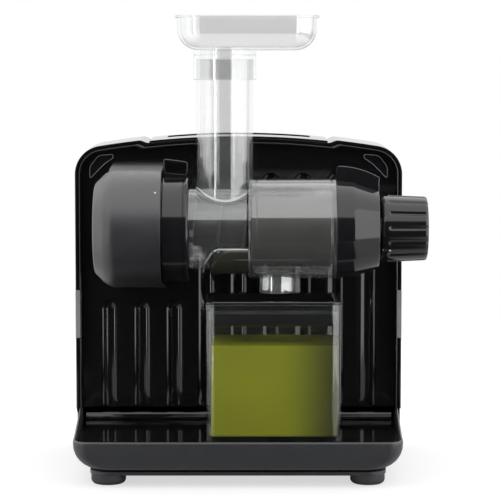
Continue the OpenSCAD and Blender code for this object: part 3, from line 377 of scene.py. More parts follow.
class Shape:
    """Vertices and faces gathered for one piece."""

    def __init__(self):
        self.verts = []
        self.faces = []

    def add(self, points):
        start = len(self.verts)
        self.verts += [tuple(p) for p in points]
        return list(range(start, len(self.verts)))

    def bridge(self, a, b, closed=True):
        n = len(a)
        for i in range(n if closed else n - 1):
            j = (i + 1) % n
            self.faces.append((a[i], a[j], b[j], b[i]))

    def loft(self, rings, closed=True, cap=(False, False), joined=False):
        """Skins a row of rings; joined links the last ring to the first."""
        ids = [self.add(r) for r in rings]
        for a, b in zip(ids, ids[1:]):
            self.bridge(a, b, closed)
        if joined:
            self.bridge(ids[-1], ids[0], closed)
        if cap[0]:
            self.faces.append(tuple(reversed(ids[0])))
        if cap[1]:
            self.faces.append(tuple(ids[-1]))
        return ids

    def fill(self, loops):
        """Fills flat loops, the first the outside and the rest holes."""
        flat = [Vector(self.verts[i]) for loop in loops for i in loop]
        index = [i for loop in loops for i in loop]
        normal = geometry.normal([Vector(self.verts[i]) for i in loops[0]])
        axis = max(range(3), key=lambda k: abs(normal[k]))
        u, v = [k for k in range(3) if k != axis]
        edges, start = [], 0
        for loop in loops:
            n = len(loop)
            edges += [(start + i, start + (i + 1) % n) for i in range(n)]
            start += n
        points = [Vector((p[u], p[v])) for p in flat]
        got = geometry.delaunay_2d_cdt(points, edges, [], 1, 1e-7)
        inside = _inside_test([[(flat[s + i][u], flat[s + i][v]) for i in range(len(l))]
                               for s, l in _starts(loops)])
        for tri in got[2]:
            c = sum((got[0][i] for i in tri), Vector((0, 0))) / len(tri)
            if inside(c):
                self.faces.append(tuple(index[got[3][i][0]] for i in tri))

    def put(self, name, slot, body, replaces=(), **more):
        return piece(name, self.verts, self.faces, slot, body, replaces, **more)


def _starts(loops):
    start = 0
    for loop in loops:
        yield start, loop
        start += len(loop)


def _inside_test(polygons):
    def one(poly, p):
        hit = False
        for (x1, y1), (x2, y2) in zip(poly, poly[1:] + poly[:1]):
            if (y1 > p.y) != (y2 > p.y) and p.x < (x2 - x1) * (p.y - y1) / (y2 - y1) + x1:
                hit = not hit
        return hit

    return lambda p: one(polygons[0], p) and not any(one(q, p) for q in polygons[1:])


def front(points, y):
    return [(x, y, z) for x, z in points]


def plan(points, z):
    return [(x, y, z) for x, y in points]


def side(points, x):
    return [(x, y, z) for y, z in points]


def tube(shape, path, r, closed=False, steps=8):
    """A round bead along a path that keeps across the y axis."""
    rings = []
    last = len(path) - 1
    for i, p in enumerate(path):
        before = path[i - 1] if i or closed else p
        after = path[(i + 1) % len(path)] if i < last or closed else p
        along = (Vector(after) - Vector(before)).normalized()
        across = along.cross(Vector((0, 1, 0))).normalized()
        out = across.cross(along)
        rings.append([Vector(p) + (across * math.cos(t) + out * math.sin(t)) * r
                      for t in [2 * math.pi * q / steps for q in range(steps)]])
    shape.loft(rings, cap=(not closed, not closed), joined=closed)


def turned(profile, steps=96, y=0, z=None):
    """Rings of a profile of (x, radius) points turned about the auger axis."""
    z = AXIS_Z if z is None else z
    rings = []
    for x, r in profile:
        rings.append([(x, y + r * math.sin(2 * math.pi * k / steps), z + r * math.cos(2 * math.pi * k / steps))
                      for k in range(steps)])
    return rings


def stood(profile, cx, cy, steps=64):
    """Rings of a profile of (z, radius) points turned about an upright axis."""
    return [plan(circle(cx, cy, r, steps), z) for z, r in profile]


# ------------------------------------------------------------------ housing
TUB = (66, 81.5, 133.5)
SWITCH = sizes("switch_bezel")
INLET = sizes("cord_inlet")
INLAY = sizes("side_inlays")


def crown_z(x, d=0.0):
    return CROWN_Z + math.sqrt((CROWN_R - d) ** 2 - x * x)


def half_outline(d, low, levels):
    """The right half of the housing seen from the front, from low up to the middle of the top."""
    out = [(HALF_W - d, z) for z in [low] + levels]
    top = math.degrees(math.atan2(CORNER_Z - CROWN_Z, CORNER_X))
    out += arc(CORNER_X, CORNER_Z, CORNER_R - d, 0, top, 14)
    edge = NOTCH_W + d
    x0 = out[-1][0]
    outer = edge + GRIP_SLOPE
    out += [(x, crown_z(x, d)) for x in [x0 + (outer - x0) * k / 3 for k in range(1, 4)]]
    for k in range(1, 9):
        x = outer - GRIP_SLOPE * k / 8
        out.append((x, crown_z(x, d) - GRIP_DROP * (0.5 - 0.5 * math.cos(math.pi * k / 8))))
    xs = [TUB[0]] + [TUB[0] * (1 - k / 10) for k in range(1, 11)]
    return out + [(x, crown_z(x, d) - GRIP_DROP) for x in xs]


def mirrored(half):
    return half + [(-x, z) for x, z in reversed(half[:-1])]


LEVELS = [SWITCH[0].z + 2, SWITCH[1].z - 2, INLAY[0].z, INLAY[1].z]
INLET_Z = ((INLET[0].z + INLET[1].z) / 2 - 5, (INLET[0].z + INLET[1].z) / 2 + 5)
SWITCH_Y = (SWITCH[0].y + 1.6, SWITCH[1].y - 1.6)
INLET_Y = ((INLET[0].y + INLET[1].y) / 2 - 5, (INLET[0].y + INLET[1].y) / 2 + 5)
LEVELS = sorted(set(round(v, 3) for v in LEVELS + list(INLET_Z)))


def shell_outline(d):
    low = FOOT_Z + d
    r = max(6 - d, 1)
    upper = mirrored(half_outline(d, FOOT_Z + 8, LEVELS))
    left = arc(-(HALF_W - d) + r, low + r, r, 180, 270, 5)
    right = arc(HALF_W - d - r, low + r, r, 270, 360, 5)
    return upper + left + right


def make_shell():
    s = Shape()
    ys = sorted({WALL_Y, TUB[1], TUB[2], *SWITCH_Y, *INLET_Y})
    path = [(0, y) for y in ys] + [(0, BACK_Y - 0.8), (0.25, BACK_Y - 0.2), (0.8, BACK_Y)]
    path += [(2.6, BACK_Y), (3, BACK_Y - 0.4)] + [(3, y) for y in reversed(ys)]

    def sunk(z, y):
        """The crown slopes down a little to the back."""
        return z - CROWN_FALL * (y - WALL_Y) * max(0, (z - AXIS_Z) / (CROWN_Z - AXIS_Z))

    s.loft([[(x, y, sunk(z, y)) for x, z in shell_outline(d)] for d, y in path], joined=True)

    def open_here(face):
        c = sum((Vector(s.verts[i]) for i in face), Vector()) / len(face)
        if abs(c.x) < TUB[0] and c.z > AXIS_Z and TUB[1] < c.y < TUB[2]:
            return True
        if c.x > -HALF_W + 4:
            return False
        in_switch = SWITCH_Y[0] < c.y < SWITCH_Y[1] and SWITCH[0].z + 2 < c.z < SWITCH[1].z - 2
        return in_switch or (INLET_Y[0] < c.y < INLET_Y[1] and INLET_Z[0] < c.z < INLET_Z[1])

    s.faces = [f for f in s.faces if not open_here(f)]
    # front rim, above the tray
    low = TRAY_TOP + 0.3
    levels = [z for z in LEVELS if z > low + 1]
    rim = [(0, WALL_Y), (0, RIM_Y + 0.5), (0.12, RIM_Y + 0.15), (0.45, RIM_Y), (1.7, RIM_Y), (1.9, RIM_Y + 0.3),
           (2, RIM_Y + 1.4), (2.5, RIM_Y + 1.4), (3.5, RIM_Y + 0.35), (4, RIM_Y + 0.1), (4.5, RIM_Y + 0.1),
           (4.9, RIM_Y + 0.4), (5, RIM_Y + 1), (5, WALL_Y + 1.5)]
    ids = s.loft([front(mirrored(half_outline(d, low, levels)), y) for d, y in rim], closed=False, joined=True)
    s.faces.append(tuple(r[0] for r in ids))
    s.faces.append(tuple(r[-1] for r in reversed(ids)))
    return s.put("housing_shell", "black_gloss", "base", ["main_housing", "left_side", "right_side", "housing_floor"])


def flute_x(k):
    return (k - FLUTES // 2) * FLUTE_PITCH


def flute_top(k):
    return FLUTE_LOW_TOP if k < SHORT_FLUTES else FLUTE_TOP


def flute_tongues(z0):
    """The lower edge of the wall's flat face: along z0 and up around each flute, from the right to the left."""
    out = []
    for k in range(FLUTES - 1, -1, -1):
        x, top = flute_x(k), flute_top(k)
        r = FLUTE_W / 2
        out += [(x + r, z0)] + arc(x, top - r, r, 0, 180, 16) + [(x - r, z0)]
    return out


def make_wall():
    s = Shape()
    y0, y1 = WALL_Y, WALL[1].y
    z0 = WALL_FOOT
    d = 3.3
    upper = mirrored(half_outline(d, z0, []))
    face = s.add(front(upper + list(reversed(flute_tongues(z0))), y0))
    neck = rectangle((DRIVE[0].x + DRIVE[1].x) / 2 + 6, (DRIVE[0].z + DRIVE[1].z) / 2 - 1, 42, 96, 2, 3)
    hole = s.add(front(neck, y0))
    s.fill([face, hole])
    # grooves
    full = math.hypot(FLUTE_SIDE, FLUTE_W / 2)
    rows = [0, 0.25, 0.7, 1.6, 2.8, 4.2, FLUTE_SIDE, FLUTE_W / 2]
    for k in range(FLUTES):
        x, top = flute_x(k), flute_top(k)
        rings = []
        for u in rows:
            r = FLUTE_W / 2 - u
            deep = y0 + math.sqrt(full ** 2 - r * r) - FLUTE_SIDE
            arch = arc(x, top - FLUTE_W / 2, r, 0, 180, 16)
            rings.append(front([(x + r, z0)] + arch + [(x - r, z0)], deep))
        s.loft(rings, closed=False)
    # rows below the flat face, through the cove at the floor
    across = [HALF_W - d]
    for k in range(FLUTES - 1, -1, -1):
        x = flute_x(k)
        offsets = [FLUTE_W / 2 - u for u in rows]
        across += [x + o for o in offsets] + [x - o for o in reversed(offsets[:-1])]
    across.append(-(HALF_W - d))

    def groove(x):
        r = min(abs(x - flute_x(k)) for k in range(FLUTES))
        return math.sqrt(full ** 2 - r * r) - FLUTE_SIDE if r < FLUTE_W / 2 else 0

    def row(shift, z, keep):
        return [(x, y0 - shift + groove(x) * keep, z) for x in across]

    r = COVE_R
    cove = [(0, z0, 1), (0, 44.8, 0.6), (0, COVE_LOW + r, 0.15)]
    for i in range(1, 7):
        t = math.pi / 2 * i / 6
        cove.append((r * (1 - math.cos(t)), COVE_LOW + r * (1 - math.sin(t)), 0))
    rings = [row(*c) for c in cove]
    half = 134.3
    rings = [[(max(-half, min(half, x)) if i > 2 else x, y, z) for x, y, z in ring] for i, ring in enumerate(rings)]
    ids = s.loft(rings, closed=False)
    low = s.add([(x, y0 + 4, COVE_LOW) for x, _, _ in rings[-1]])
    s.bridge(ids[-1], low, closed=False)
    # the wall's back
    back = s.add(front(upper + [(-(HALF_W - d), FOOT_Z + 4), (HALF_W - d, FOOT_Z + 4)], y1))
    hole2 = s.add(front(neck, y1))
    s.fill([back, hole2])
    s.bridge(hole, hole2)
    s.bridge(face[:len(upper)], back[:len(upper)], closed=False)
    s.put("fluted_wall_face", "black_gloss", "base", ["fluted_wall"])
    # the bead that runs over the flutes' tops
    bead = Shape()

    def wave(x):
        return FLUTE_TOP + 1.2 + 1.5 * math.cos(2 * math.pi * x / FLUTE_PITCH)

    xs = [-36 + 172 * k / 120 for k in range(121)]
    section = [(-1.0, 0), (-0.55, -0.6), (0.55, -0.6), (1.0, 0), (0, 0.6)]
    rings = [[(x, y0 + dy, wave(x) + dz) for dz, dy in section] for x in xs]
    bead.loft(rings, cap=(True, True))
    bead.put("wall_bead", "dark_gloss", "base")


# ------------------------------------------------------------------ tray
def sled_plan(side, ends, r, z, rise):
    """A loop round the tray at one inset, at height z plus rise times the climb to the back."""
    w0, w1 = LIP_HALF - side, TRAY[1].x - side
    y0, y1 = LIP_Y + ends, TRAY_END
    k = (w1 - w0) / (y1 - y0)
    pts = [(w1, y1)] + [(w1 + (w0 - w1) * i / 6, y1 + (y0 + r - y1) * i / 6) for i in range(1, 6)]
    pts += arc(w0 - r + k * r, y0 + r, r, 0, -90, 8)
    pts += [(w0 * (1 - i / 6), y0) for i in range(1, 6)] + [(0, y0)]
    full = pts + [(-x, y) for x, y in reversed(pts[:-1])]
    return [(x, y, z + rise * (y - LIP_Y) / (TRAY_END - LIP_Y)) for x, y in full]


def make_tray():
    s = Shape()
    z0 = TRAY[0].z
    rise = TRAY_TOP - LIP_TOP
    rings = []
    for i in range(9):
        t = math.pi / 2 * i / 8
        out = 1 - math.sin(t)
        rings.append(sled_plan(LIP_R * out, 1.5 * out, 12, z0 + LIP_R * (1 - math.cos(t)), 0))
    for dz, ins in ((-1.4, 0), (-0.55, 0.25), (-0.1, 0.8), (0, 1.3), (-0.1, 1.9), (-0.5, 2.4), (-1.2, 2.7)):
        rings.append(sled_plan(ins, ins, 12 - ins, LIP_TOP + dz, rise))
    rings.append(sled_plan(3, 3, 9, PLATE_TOP - 2, 0))
    ids = s.loft(rings)
    s.fill([ids[0]])
    s.fill([ids[-1]])
    s.put("tray_sled", "graphite_satin", "tray", ["drip_tray"])
    p = Shape()
    rings = [sled_plan(3.2, 3.2, 9, PLATE[0].z + 1.5, 0), sled_plan(3.2, 3.2, 9, PLATE_TOP - 0.4, 0),
             sled_plan(3.6, 3.6, 8.6, PLATE_TOP, 0)]
    ids = p.loft(rings)
    p.fill([ids[0]])
    p.fill([ids[-1]])
    p.put("tray_floor", "black_gloss", "tray", ["floor_plate"])


# ------------------------------------------------------------------ drive
NECK_X = DRIVE[0].x + 11


def ring_yz(x, r, start=0, end=360, steps=96):
    """Points about the auger axis; 0 degrees is up and 90 to the back."""
    n = max(int(steps * (end - start) / 360), 4)
    closed = end - start >= 360
    turns = [math.radians(start + (end - start) * i / n) for i in range(n if closed else n + 1)]
    return [(x, r * math.sin(t), AXIS_Z + r * math.cos(t)) for t in turns]


def neck_loop(x, d):
    """The drive housing's outline with its neck, open at the wall."""
    top, low = DRIVE[1].z - d, DRIVE[0].z + d
    half = list(reversed(ring_yz(x, DRIVE_R - d, 180, 360)))
    high_knee = (x, NECK_Y, AXIS_Z + DRIVE_R - d + (top - AXIS_Z - DRIVE_R + d) / 3)
    low_knee = (x, NECK_Y, AXIS_Z - DRIVE_R + d + (low - AXIS_Z + DRIVE_R - d) / 3)
    return [(x, WALL_Y, top), high_knee] + half + [low_knee, (x, WALL_Y, low)]


def make_drive():
    s = Shape()
    x0, x1 = DRIVE[0].x, DRIVE[1].x
    face_r = DRIVE_R - 11.5
    # left end: a round shell with a large bevel
    out = [(x0 + 0.02, 2)] + fillet([(x0 + 0.02, face_r - 12), (x0 + 0.02, face_r - 0.5), (x0 + BEVEL - 1, DRIVE_R),
                                     (x0 + BEVEL + 14, DRIVE_R)], [0, 5, 16, 0], 10, closed=False)[1:]
    xa = x0 + BEVEL + 14
    inner = [(xa, DRIVE_R - 2.6), (x0 + BEVEL + 4, DRIVE_R - 2.9), (x0 + BEVEL - 2, DRIVE_R - 4.4),
             (x0 + 3, face_r - 3.4), (x0 + 2.6, 2)]
    s.loft(turned(out + inner), cap=(True, True))
    path = [(0, xa), (0, x1 - 0.5), (0.15, x1 - 0.15), (0.5, x1), (2.2, x1), (2.6, x1 - 0.4), (2.6, xa)]
    s.loft([neck_loop(x, d) for d, x in path], closed=False)
    # the neck's left cheek, between the round end and the wall
    cheek = [(0, xa), (0, NECK_X + 2), (0.6, NECK_X + 0.6), (2, NECK_X)]
    loops = []
    for d, x in cheek:
        top = DRIVE[1].z - d
        loops.append([(x, WALL_Y, top), (x, NECK_Y, AXIS_Z + DRIVE_R - d + (top - AXIS_Z - DRIVE_R + d) / 3),
                      (x, 0, AXIS_Z + DRIVE_R - d - 1.4)])
    s.loft(loops, closed=False)
    s.loft([[(x, y, 2 * AXIS_Z - z if i == 2 else DRIVE[0].z + d if i == 0 else
              AXIS_Z - DRIVE_R + d + (DRIVE[0].z + d - AXIS_Z + DRIVE_R - d) / 3)
             for i, (_, y, z) in enumerate(loop)] for (d, x), loop in zip(cheek, loops)], closed=False)
    top, low = DRIVE[1].z - 2, DRIVE[0].z + 2
    side_loop = s.add([(NECK_X, WALL_Y, top), (NECK_X, 0, AXIS_Z + DRIVE_R - 3.4)] +
                      list(ring_yz(NECK_X, DRIVE_R - 3.4, 0, 180))[1:-1] +
                      [(NECK_X, 0, AXIS_Z - DRIVE_R + 3.4), (NECK_X, WALL_Y, low)])
    s.fill([side_loop])
    s.put("drive_shell", "gunmetal_satin", "base", ["drive_housing"])
    dot = Shape()
    cx, cz = -68.4, 242.7
    y = -math.sqrt(DRIVE_R ** 2 - (cz - AXIS_Z) ** 2)
    n = Vector((0, y, cz - AXIS_Z)).normalized()
    t = Vector((0, n.z, -n.y))
    centre = Vector((cx, n.y * DRIVE_R, AXIS_Z + n.z * DRIVE_R))
    turns = [2 * math.pi * k / 20 for k in range(20)]
    rings = [[centre + n * h + (Vector((1, 0, 0)) * math.cos(a) + t * math.sin(a)) * r for a in turns]
             for h, r in ((-0.3, 0.85), (0.05, 0.85), (0.08, 0.6))]
    dot.loft(rings, cap=(True, True))
    dot.put("drive_dot", "mark_white", "base")


def make_ring():
    s = Shape()
    a, b = RING[0].x, RING[1].x
    R = 44.5
    profile = [(a, 40.3), (a, R - 1.3), (a + 0.35, R - 0.45), (a + 1.2, R), (b - 4.6, R), (b - 4.3, R - 0.5),
               (b - 3.9, R - 0.5), (b - 3.6, R), (b - 1.8, R), (b - 0.6, R - 0.5), (b, R - 1.7), (b, 38.3),
               (a + 7.6, 38.3), (a + 7.6, 40.3)]
    s.loft(turned(profile), joined=True)
    s.put("ring_body", "dark_gloss", "ring", ["locking_ring"])
    # the tab, a thin loop that stands up from the ring
    s = Shape()
    z = AXIS_Z
    outer = fillet([(a + 0.7, z + R - 2), (b - 0.6, z + R - 2), (b - 0.6, z + 55.6), (b - 3, z + 56.9),
                    (a + 2.2, z + 59), (a + 0.7, z + 57)], [0, 0, 1.4, 2, 1.6, 1.2], 4)
    inner = fillet([(a + 2, z + R + 3), (b - 1.9, z + R + 1.2), (b - 1.9, z + 54.6), (a + 2, z + 57)], 1, 4)
    y0, y1 = -8, 8
    o = s.loft([front(inset(outer, d), y) for d, y in ((0.6, y0), (0.18, y0 + 0.18), (0, y0 + 0.6), (0, y1 - 0.6),
                                                       (0.18, y1 - 0.18), (0.6, y1))])
    i = s.loft([front(inset(inner, d), y) for d, y in ((-0.35, y0), (-0.1, y0 + 0.1), (0, y0 + 0.35), (0, y1 - 0.35),
                                                       (-0.1, y1 - 0.1), (-0.35, y1))])
    s.fill([o[0], i[0]])
    s.fill([o[-1], i[-1]])
    s.put("ring_tab", "dark_gloss", "ring")


# ------------------------------------------------------------------ clear parts
CHUTE_X = (CHUTE[0].x + CHUTE[1].x) / 2
SPOUT = sizes("juice_spout")
SPOUT_X = (SPOUT[0].x + SPOUT[1].x) / 2
STEP_X = DRUM[0].x


def landed(cx, r, far, on, steps=96, up=True):
    """A tube's rings from a ring that lies on a cylinder about the auger axis out to the others."""
    sign = 1 if up else -1
    first = []
    for k in range(steps):
        t = 2 * math.pi * k / steps
        y = r * math.sin(t)
        first.append((cx + r * math.cos(t), y, AXIS_Z + sign * math.sqrt(max(on ** 2 - y * y, 0))))
    return [first] + stood(far, cx, 0, steps)


def make_trough():
    """The juice channel that bulges from the drum's underside, below the feed end."""
    s = Shape()
    x1, x0, big = STEP_X + 0.4, STEP_X - 32.5, 38.6
    rings = []
    for i in range(25):
        t = i / 24
        x = x1 + (x0 - x1) * t
        bend = max(0.0, (t - 0.45) / 0.55)
        reach = 66.5 - 32 * bend ** 2.2
        r = FEED_R - 0.6 + (big - FEED_R + 0.6) * math.sqrt(max(0.0, 1 - max(0.0, (t - 0.8) / 0.2) ** 2.2))
        ring = []
        for k in range(41):
            v = -1 + k / 20
            edge = min(1.0, (1 - abs(v)) / 0.07)
            rr = FEED_R - 0.8 + (r - FEED_R + 0.8) * math.sin(math.pi / 2 * edge)
            a = math.radians(reach * v)
            ring.append((x, -rr * math.sin(-a), AXIS_Z - rr * math.cos(a)))
        rings.append(ring)
    s.loft(rings, closed=False)
    s.put("juice_trough", "trough_olive", "drum", weighted=False)
    # its shoulder: a milky bead, a painted highlight along the edge
    s = Shape()
    path = fillet([(STEP_X, 195.2), (-20, 195.2), (-27, 184), (-29, 175)], [0, 9, 6, 0], 8, closed=False)
    path = [(path[0][0] + (path[1][0] - path[0][0]) * k / 8, path[0][1]) for k in range(8)] + path[1:]
    tube(s, [(x, -math.sqrt(37.9 ** 2 - (AXIS_Z - z) ** 2), z) for x, z in path], 0.9)
    s.put("trough_shoulder_highlight", "spout_clear", "drum")
    # the fine teeth seen through the drum, and the catches at its ring end
    s = Shape()
    teeth = [(-3 + 0.45 * k, 186.4 + (0.55 if k % 2 else -0.55)) for k in range(132)]
    tube(s, [(x, -math.sqrt((DRUM_R - 3.2) ** 2 - (AXIS_Z - z) ** 2), z) for x, z in teeth], 0.35, steps=5)
    for low, high in ((2, -6), (-13, -50)):
        rows = [math.radians(low + (high - low) * k / 8) for k in range(9)]
        box = [(-40.2, FEED_R + 3.2), (-40.2, FEED_R + 4.6), (-37, FEED_R + 4.6), (-37, FEED_R + 3.2)]
        s.loft([[(x, -r * math.cos(t), AXIS_Z + r * math.sin(t)) for x, r in box] for t in rows], cap=(True, True))
    s.put("drum_details", "spout_clear", "drum")


def make_clear():
    a = FEED[0].x
    s = Shape()
    profile = [(a, 32), (a, FEED_R + 3.1), (a + 0.5, FEED_R + 3.6), (a + 3.5, FEED_R + 3.6), (a + 4, FEED_R + 3.1),
               (a + 4, FEED_R + 0.8), (a + 4.8, FEED_R), (STEP_X - 1, FEED_R), (STEP_X - 1, FEED_R - WALL_T),
               (a + 2, FEED_R - WALL_T), (a + 1.2, 31.8)]
    s.loft(turned(profile), joined=True)
    s.put("feed_shell", "clear_plastic", "drum", ["feed_housing"])
    s = Shape()
    b = DRUM[1].x
    profile = [(STEP_X, FEED_R - WALL_T), (STEP_X, FEED_R), (STEP_X, DRUM_R - 2.6), (STEP_X + 0.6, DRUM_R - 1),
               (STEP_X + 2.2, DRUM_R), (STEP_X + 6.6, DRUM_R), (STEP_X + 7, DRUM_R - 0.6), (STEP_X + 7.6, DRUM_R - 0.6),
               (STEP_X + 8, DRUM_R), (b - 5, DRUM_R), (b - 4.4, DRUM_R - 0.5), (b - 3.8, DRUM_R - 0.5),
               (b - 3.2, DRUM_R), (b - 0.6, DRUM_R), (b, DRUM_R - 0.6), (b, DRUM_R - WALL_T),
               (STEP_X + WALL_T + 1, DRUM_R - WALL_T), (STEP_X + WALL_T, DRUM_R - WALL_T - 1),
               (STEP_X + WALL_T, FEED_R - WALL_T)]
    s.loft(turned(profile), joined=True)
    s.put("drum_shell", "clear_plastic", "drum", ["juicing_drum"])
    make_trough()
    # a blank round mark on the drum, where the real one has lettering
    lift = math.radians(57)
    s = Shape()
    rings = []
    for k in range(40):
        t = 2 * math.pi * k / 40
        ring = []
        for q in range(6):
            u = 2 * math.pi * q / 6
            w = 5.6 + 0.3 * math.cos(u)
            ang = lift + w * math.sin(t) / DRUM_R
            rr = DRUM_R + 0.22 * math.sin(u)
            ring.append((66.5 + w * math.cos(t), -rr * math.cos(ang), AXIS_Z + rr * math.sin(ang)))
        rings.append(ring)
    s.loft(rings, joined=True)
    s.put("drum_mark", "clear_plastic", "drum")
    # chute
    top = CHUTE[1].z
    s = Shape()
    outside = [(z, CHUTE_R) for z in (260, 300, top - 0.6)]
    inside = [(top - 0.5, BORE_R), (300, BORE_R), (262, BORE_R), (244.4, 21.3)]
    s.loft(landed(CHUTE_X, CHUTE_R, outside + [(top, 23.1), (top, 21.3)] + inside, FEED_R))
    s.put("chute_tube", "clear_plastic", "drum", ["feed_chute"])
    # the bead where the chute meets the drum
    s = Shape()
    rings = []
    for k in range(96):
        t = 2 * math.pi * k / 96
        ring = []
        for q in range(7):
            u = 2 * math.pi * q / 7
            r = 24.1 + 0.95 * math.cos(u)
            y = r * math.sin(t)
            ring.append((CHUTE_X + r * math.cos(t), y,
                         AXIS_Z + math.sqrt(FEED_R ** 2 - y * y) + 0.35 + 0.95 * math.sin(u)))
        rings.append(ring)
    s.loft(rings, joined=True)
    s.put("chute_bead", "spout_clear", "drum")
    # spout
    s = Shape()
    low = SPOUT[0].z
    profile = [(162, SPOUT_R), (low + 0.5, SPOUT_R), (low, 14.6), (low, 13), (low + 0.5, SPOUT_BORE), (165, SPOUT_BORE)]
    s.loft(landed(SPOUT_X, SPOUT_R, profile, DRUM_R, up=False))
    s.put("spout_tube", "spout_clear", "drum", ["juice_spout"])
    # collar and hopper
    c0, c1 = COLLAR[0].z, COLLAR[1].z
    s = Shape()
    outside = [(c0, 23.9), (c0, 25.9), (c0 + 0.5, 26.4), (c1 - 4.6, 26.4), (c1 - 4.2, 26), (c1 - 3.6, 26),
               (c1 - 3.2, 26.4), (c1, 26.4)]
    s.loft(stood(outside + [(c1, BORE_R), (top + 0.3, BORE_R), (top + 0.3, 23.9)], CHUTE_X, 0), joined=True)
    s.put("collar_tube", "clear_plastic", "hopper", ["hopper_collar"])
    h = Shape()
    cx, cy = (HOPPER[0].x + HOPPER[1].x) / 2, (HOPPER[0].y + HOPPER[1].y) / 2
    lx, ly = HOPPER[1].x - HOPPER[0].x, HOPPER[1].y - HOPPER[0].y
    z0, z1 = HOPPER[0].z, HOPPER[1].z

    def loop(d, z):
        return plan(rectangle(cx, cy, lx - 2 * d, ly - 2 * d, max(HOPPER_R - d, 1.5)), z)

    turns = [math.pi / 2 * i / 10 for i in range(11)]
    rings = [loop(2 + HOPPER_CURVE * (1 - math.sin(t)), z0 + HOPPER_CURVE * (1 - math.cos(t))) for t in turns]
    rings += [loop(2, z1 - 3), loop(1.7, z1 - 2.4), loop(0.5, z1 - 2), loop(0, z1 - 1.5), loop(0, z1 - 0.6),
              loop(0.5, z1), loop(3.6, z1), loop(4.3, z1 - 0.7)]
    rings += [loop(4.4 + 15.6 * (1 - math.cos(t)), z0 + 2.4 + 15.6 * (1 - math.sin(t))) for t in turns]
    ids = h.loft(rings)
    bore = circle(CHUTE_X, 0, BORE_R, 64)
    low, high = h.add(plan(bore, z0)), h.add(plan(bore, z0 + 2.4))
    h.fill([ids[0], low])
    h.fill([ids[-1], high])
    h.bridge(low, high)
    h.put("hopper_bowl", "clear_plastic", "hopper", ["hopper"])


def make_auger():
    s = Shape()
    a, b = AUGER[0].x, AUGER[1].x - 12

    def core(x):
        return 13 + 11 * (x - a) / (b - a)

    s.loft(turned([(a, 7), (a, 12.4), (a + 0.6, core(a))] + [(a + (b - a) * k / 16, core(a + (b - a) * k / 16))
                  for k in range(1, 16)] + [(b - 0.8, core(b)), (b, core(b) - 0.8), (b, 5), (AUGER[1].x - 0.6, 5),
                  (AUGER[1].x, 4.4)], 72), cap=(True, True))
    # the flight
    per = 36
    n = int((b - a - 4) / FLIGHT_PITCH * per)
    rings = []
    for i in range(n + 1):
        t = 2 * math.pi * i / per
        x = a + 2 + FLIGHT_PITCH * i / per
        c = core(x) - 0.5
        up = (math.sin(t), math.cos(t))
        reach = FLIGHT_R - max(0, (8 - i) * 1.4) - max(0, (8 - (n - i)) * 1.0)
        section = [(-1.9, c), (-1.3, reach - 1.2), (-0.9, reach - 0.3), (-0.3, reach), (0.5, reach),
                   (1.1, reach - 0.4), (1.5, reach - 1.4), (2.1, c)]
        rings.append([(x + dx, r * up[0], AXIS_Z + r * up[1]) for dx, r in section])
    s.loft(rings, cap=(True, True))
    s.put("auger_body", "auger_dark", "auger", ["auger"])


# ------------------------------------------------------------------ end cap and knob
def make_cap():
    s = Shape()
    a, b = CAP[0].x - 0.6, CAP[1].x - 1.2
    R, E = 42, 34
    bore = 9.9
    profile = [(a, R - 2.8), (a, R - 0.5), (a + 0.5, R)]
    profile += fillet([(a + 0.5, R), (a + 15, R - 1.3), (b - 0.4, E - 0.6), (b - 0.2, E - 3)], [0, 14, 1.4, 0], 8,
                      closed=False)[1:]
    profile += [(b, E - 3.4), (b, bore), (b - 2.8, bore), (b - 2.8, E - 5), (a + 14, R - 5), (a + 3, R - 2.8)]
    s.loft(turned(profile), joined=True)
    s.put("cap_body", "dark_gloss", "cap", ["end_cap"])
    s = Shape()
    # the tab, with a curved top
    z = AXIS_Z
    top = [(a + 0.3, z + 50), (a + 1.4, z + 52.6), (a + 3, z + 53)] + \
        [(a + 3 + 33.6 * t, z + 53 - 9.5 * t * t) for t in (0.15, 0.3, 0.45, 0.6, 0.75, 0.9, 1)]
    outline = [(a + 0.3, z + 38)] + top + [(b - 0.2, z + 40), (b - 0.2, z + 32)]
    rings = [front(inset(list(reversed(outline)), ins), y) for ins, y in
             ((0.8, -9), (0.24, -8.76), (0, -8.2), (0, 8.2), (0.24, 8.76), (0.8, 9))]
    s.loft(rings, cap=(True, True))
    s.put("cap_tab", "dark_gloss", "cap")


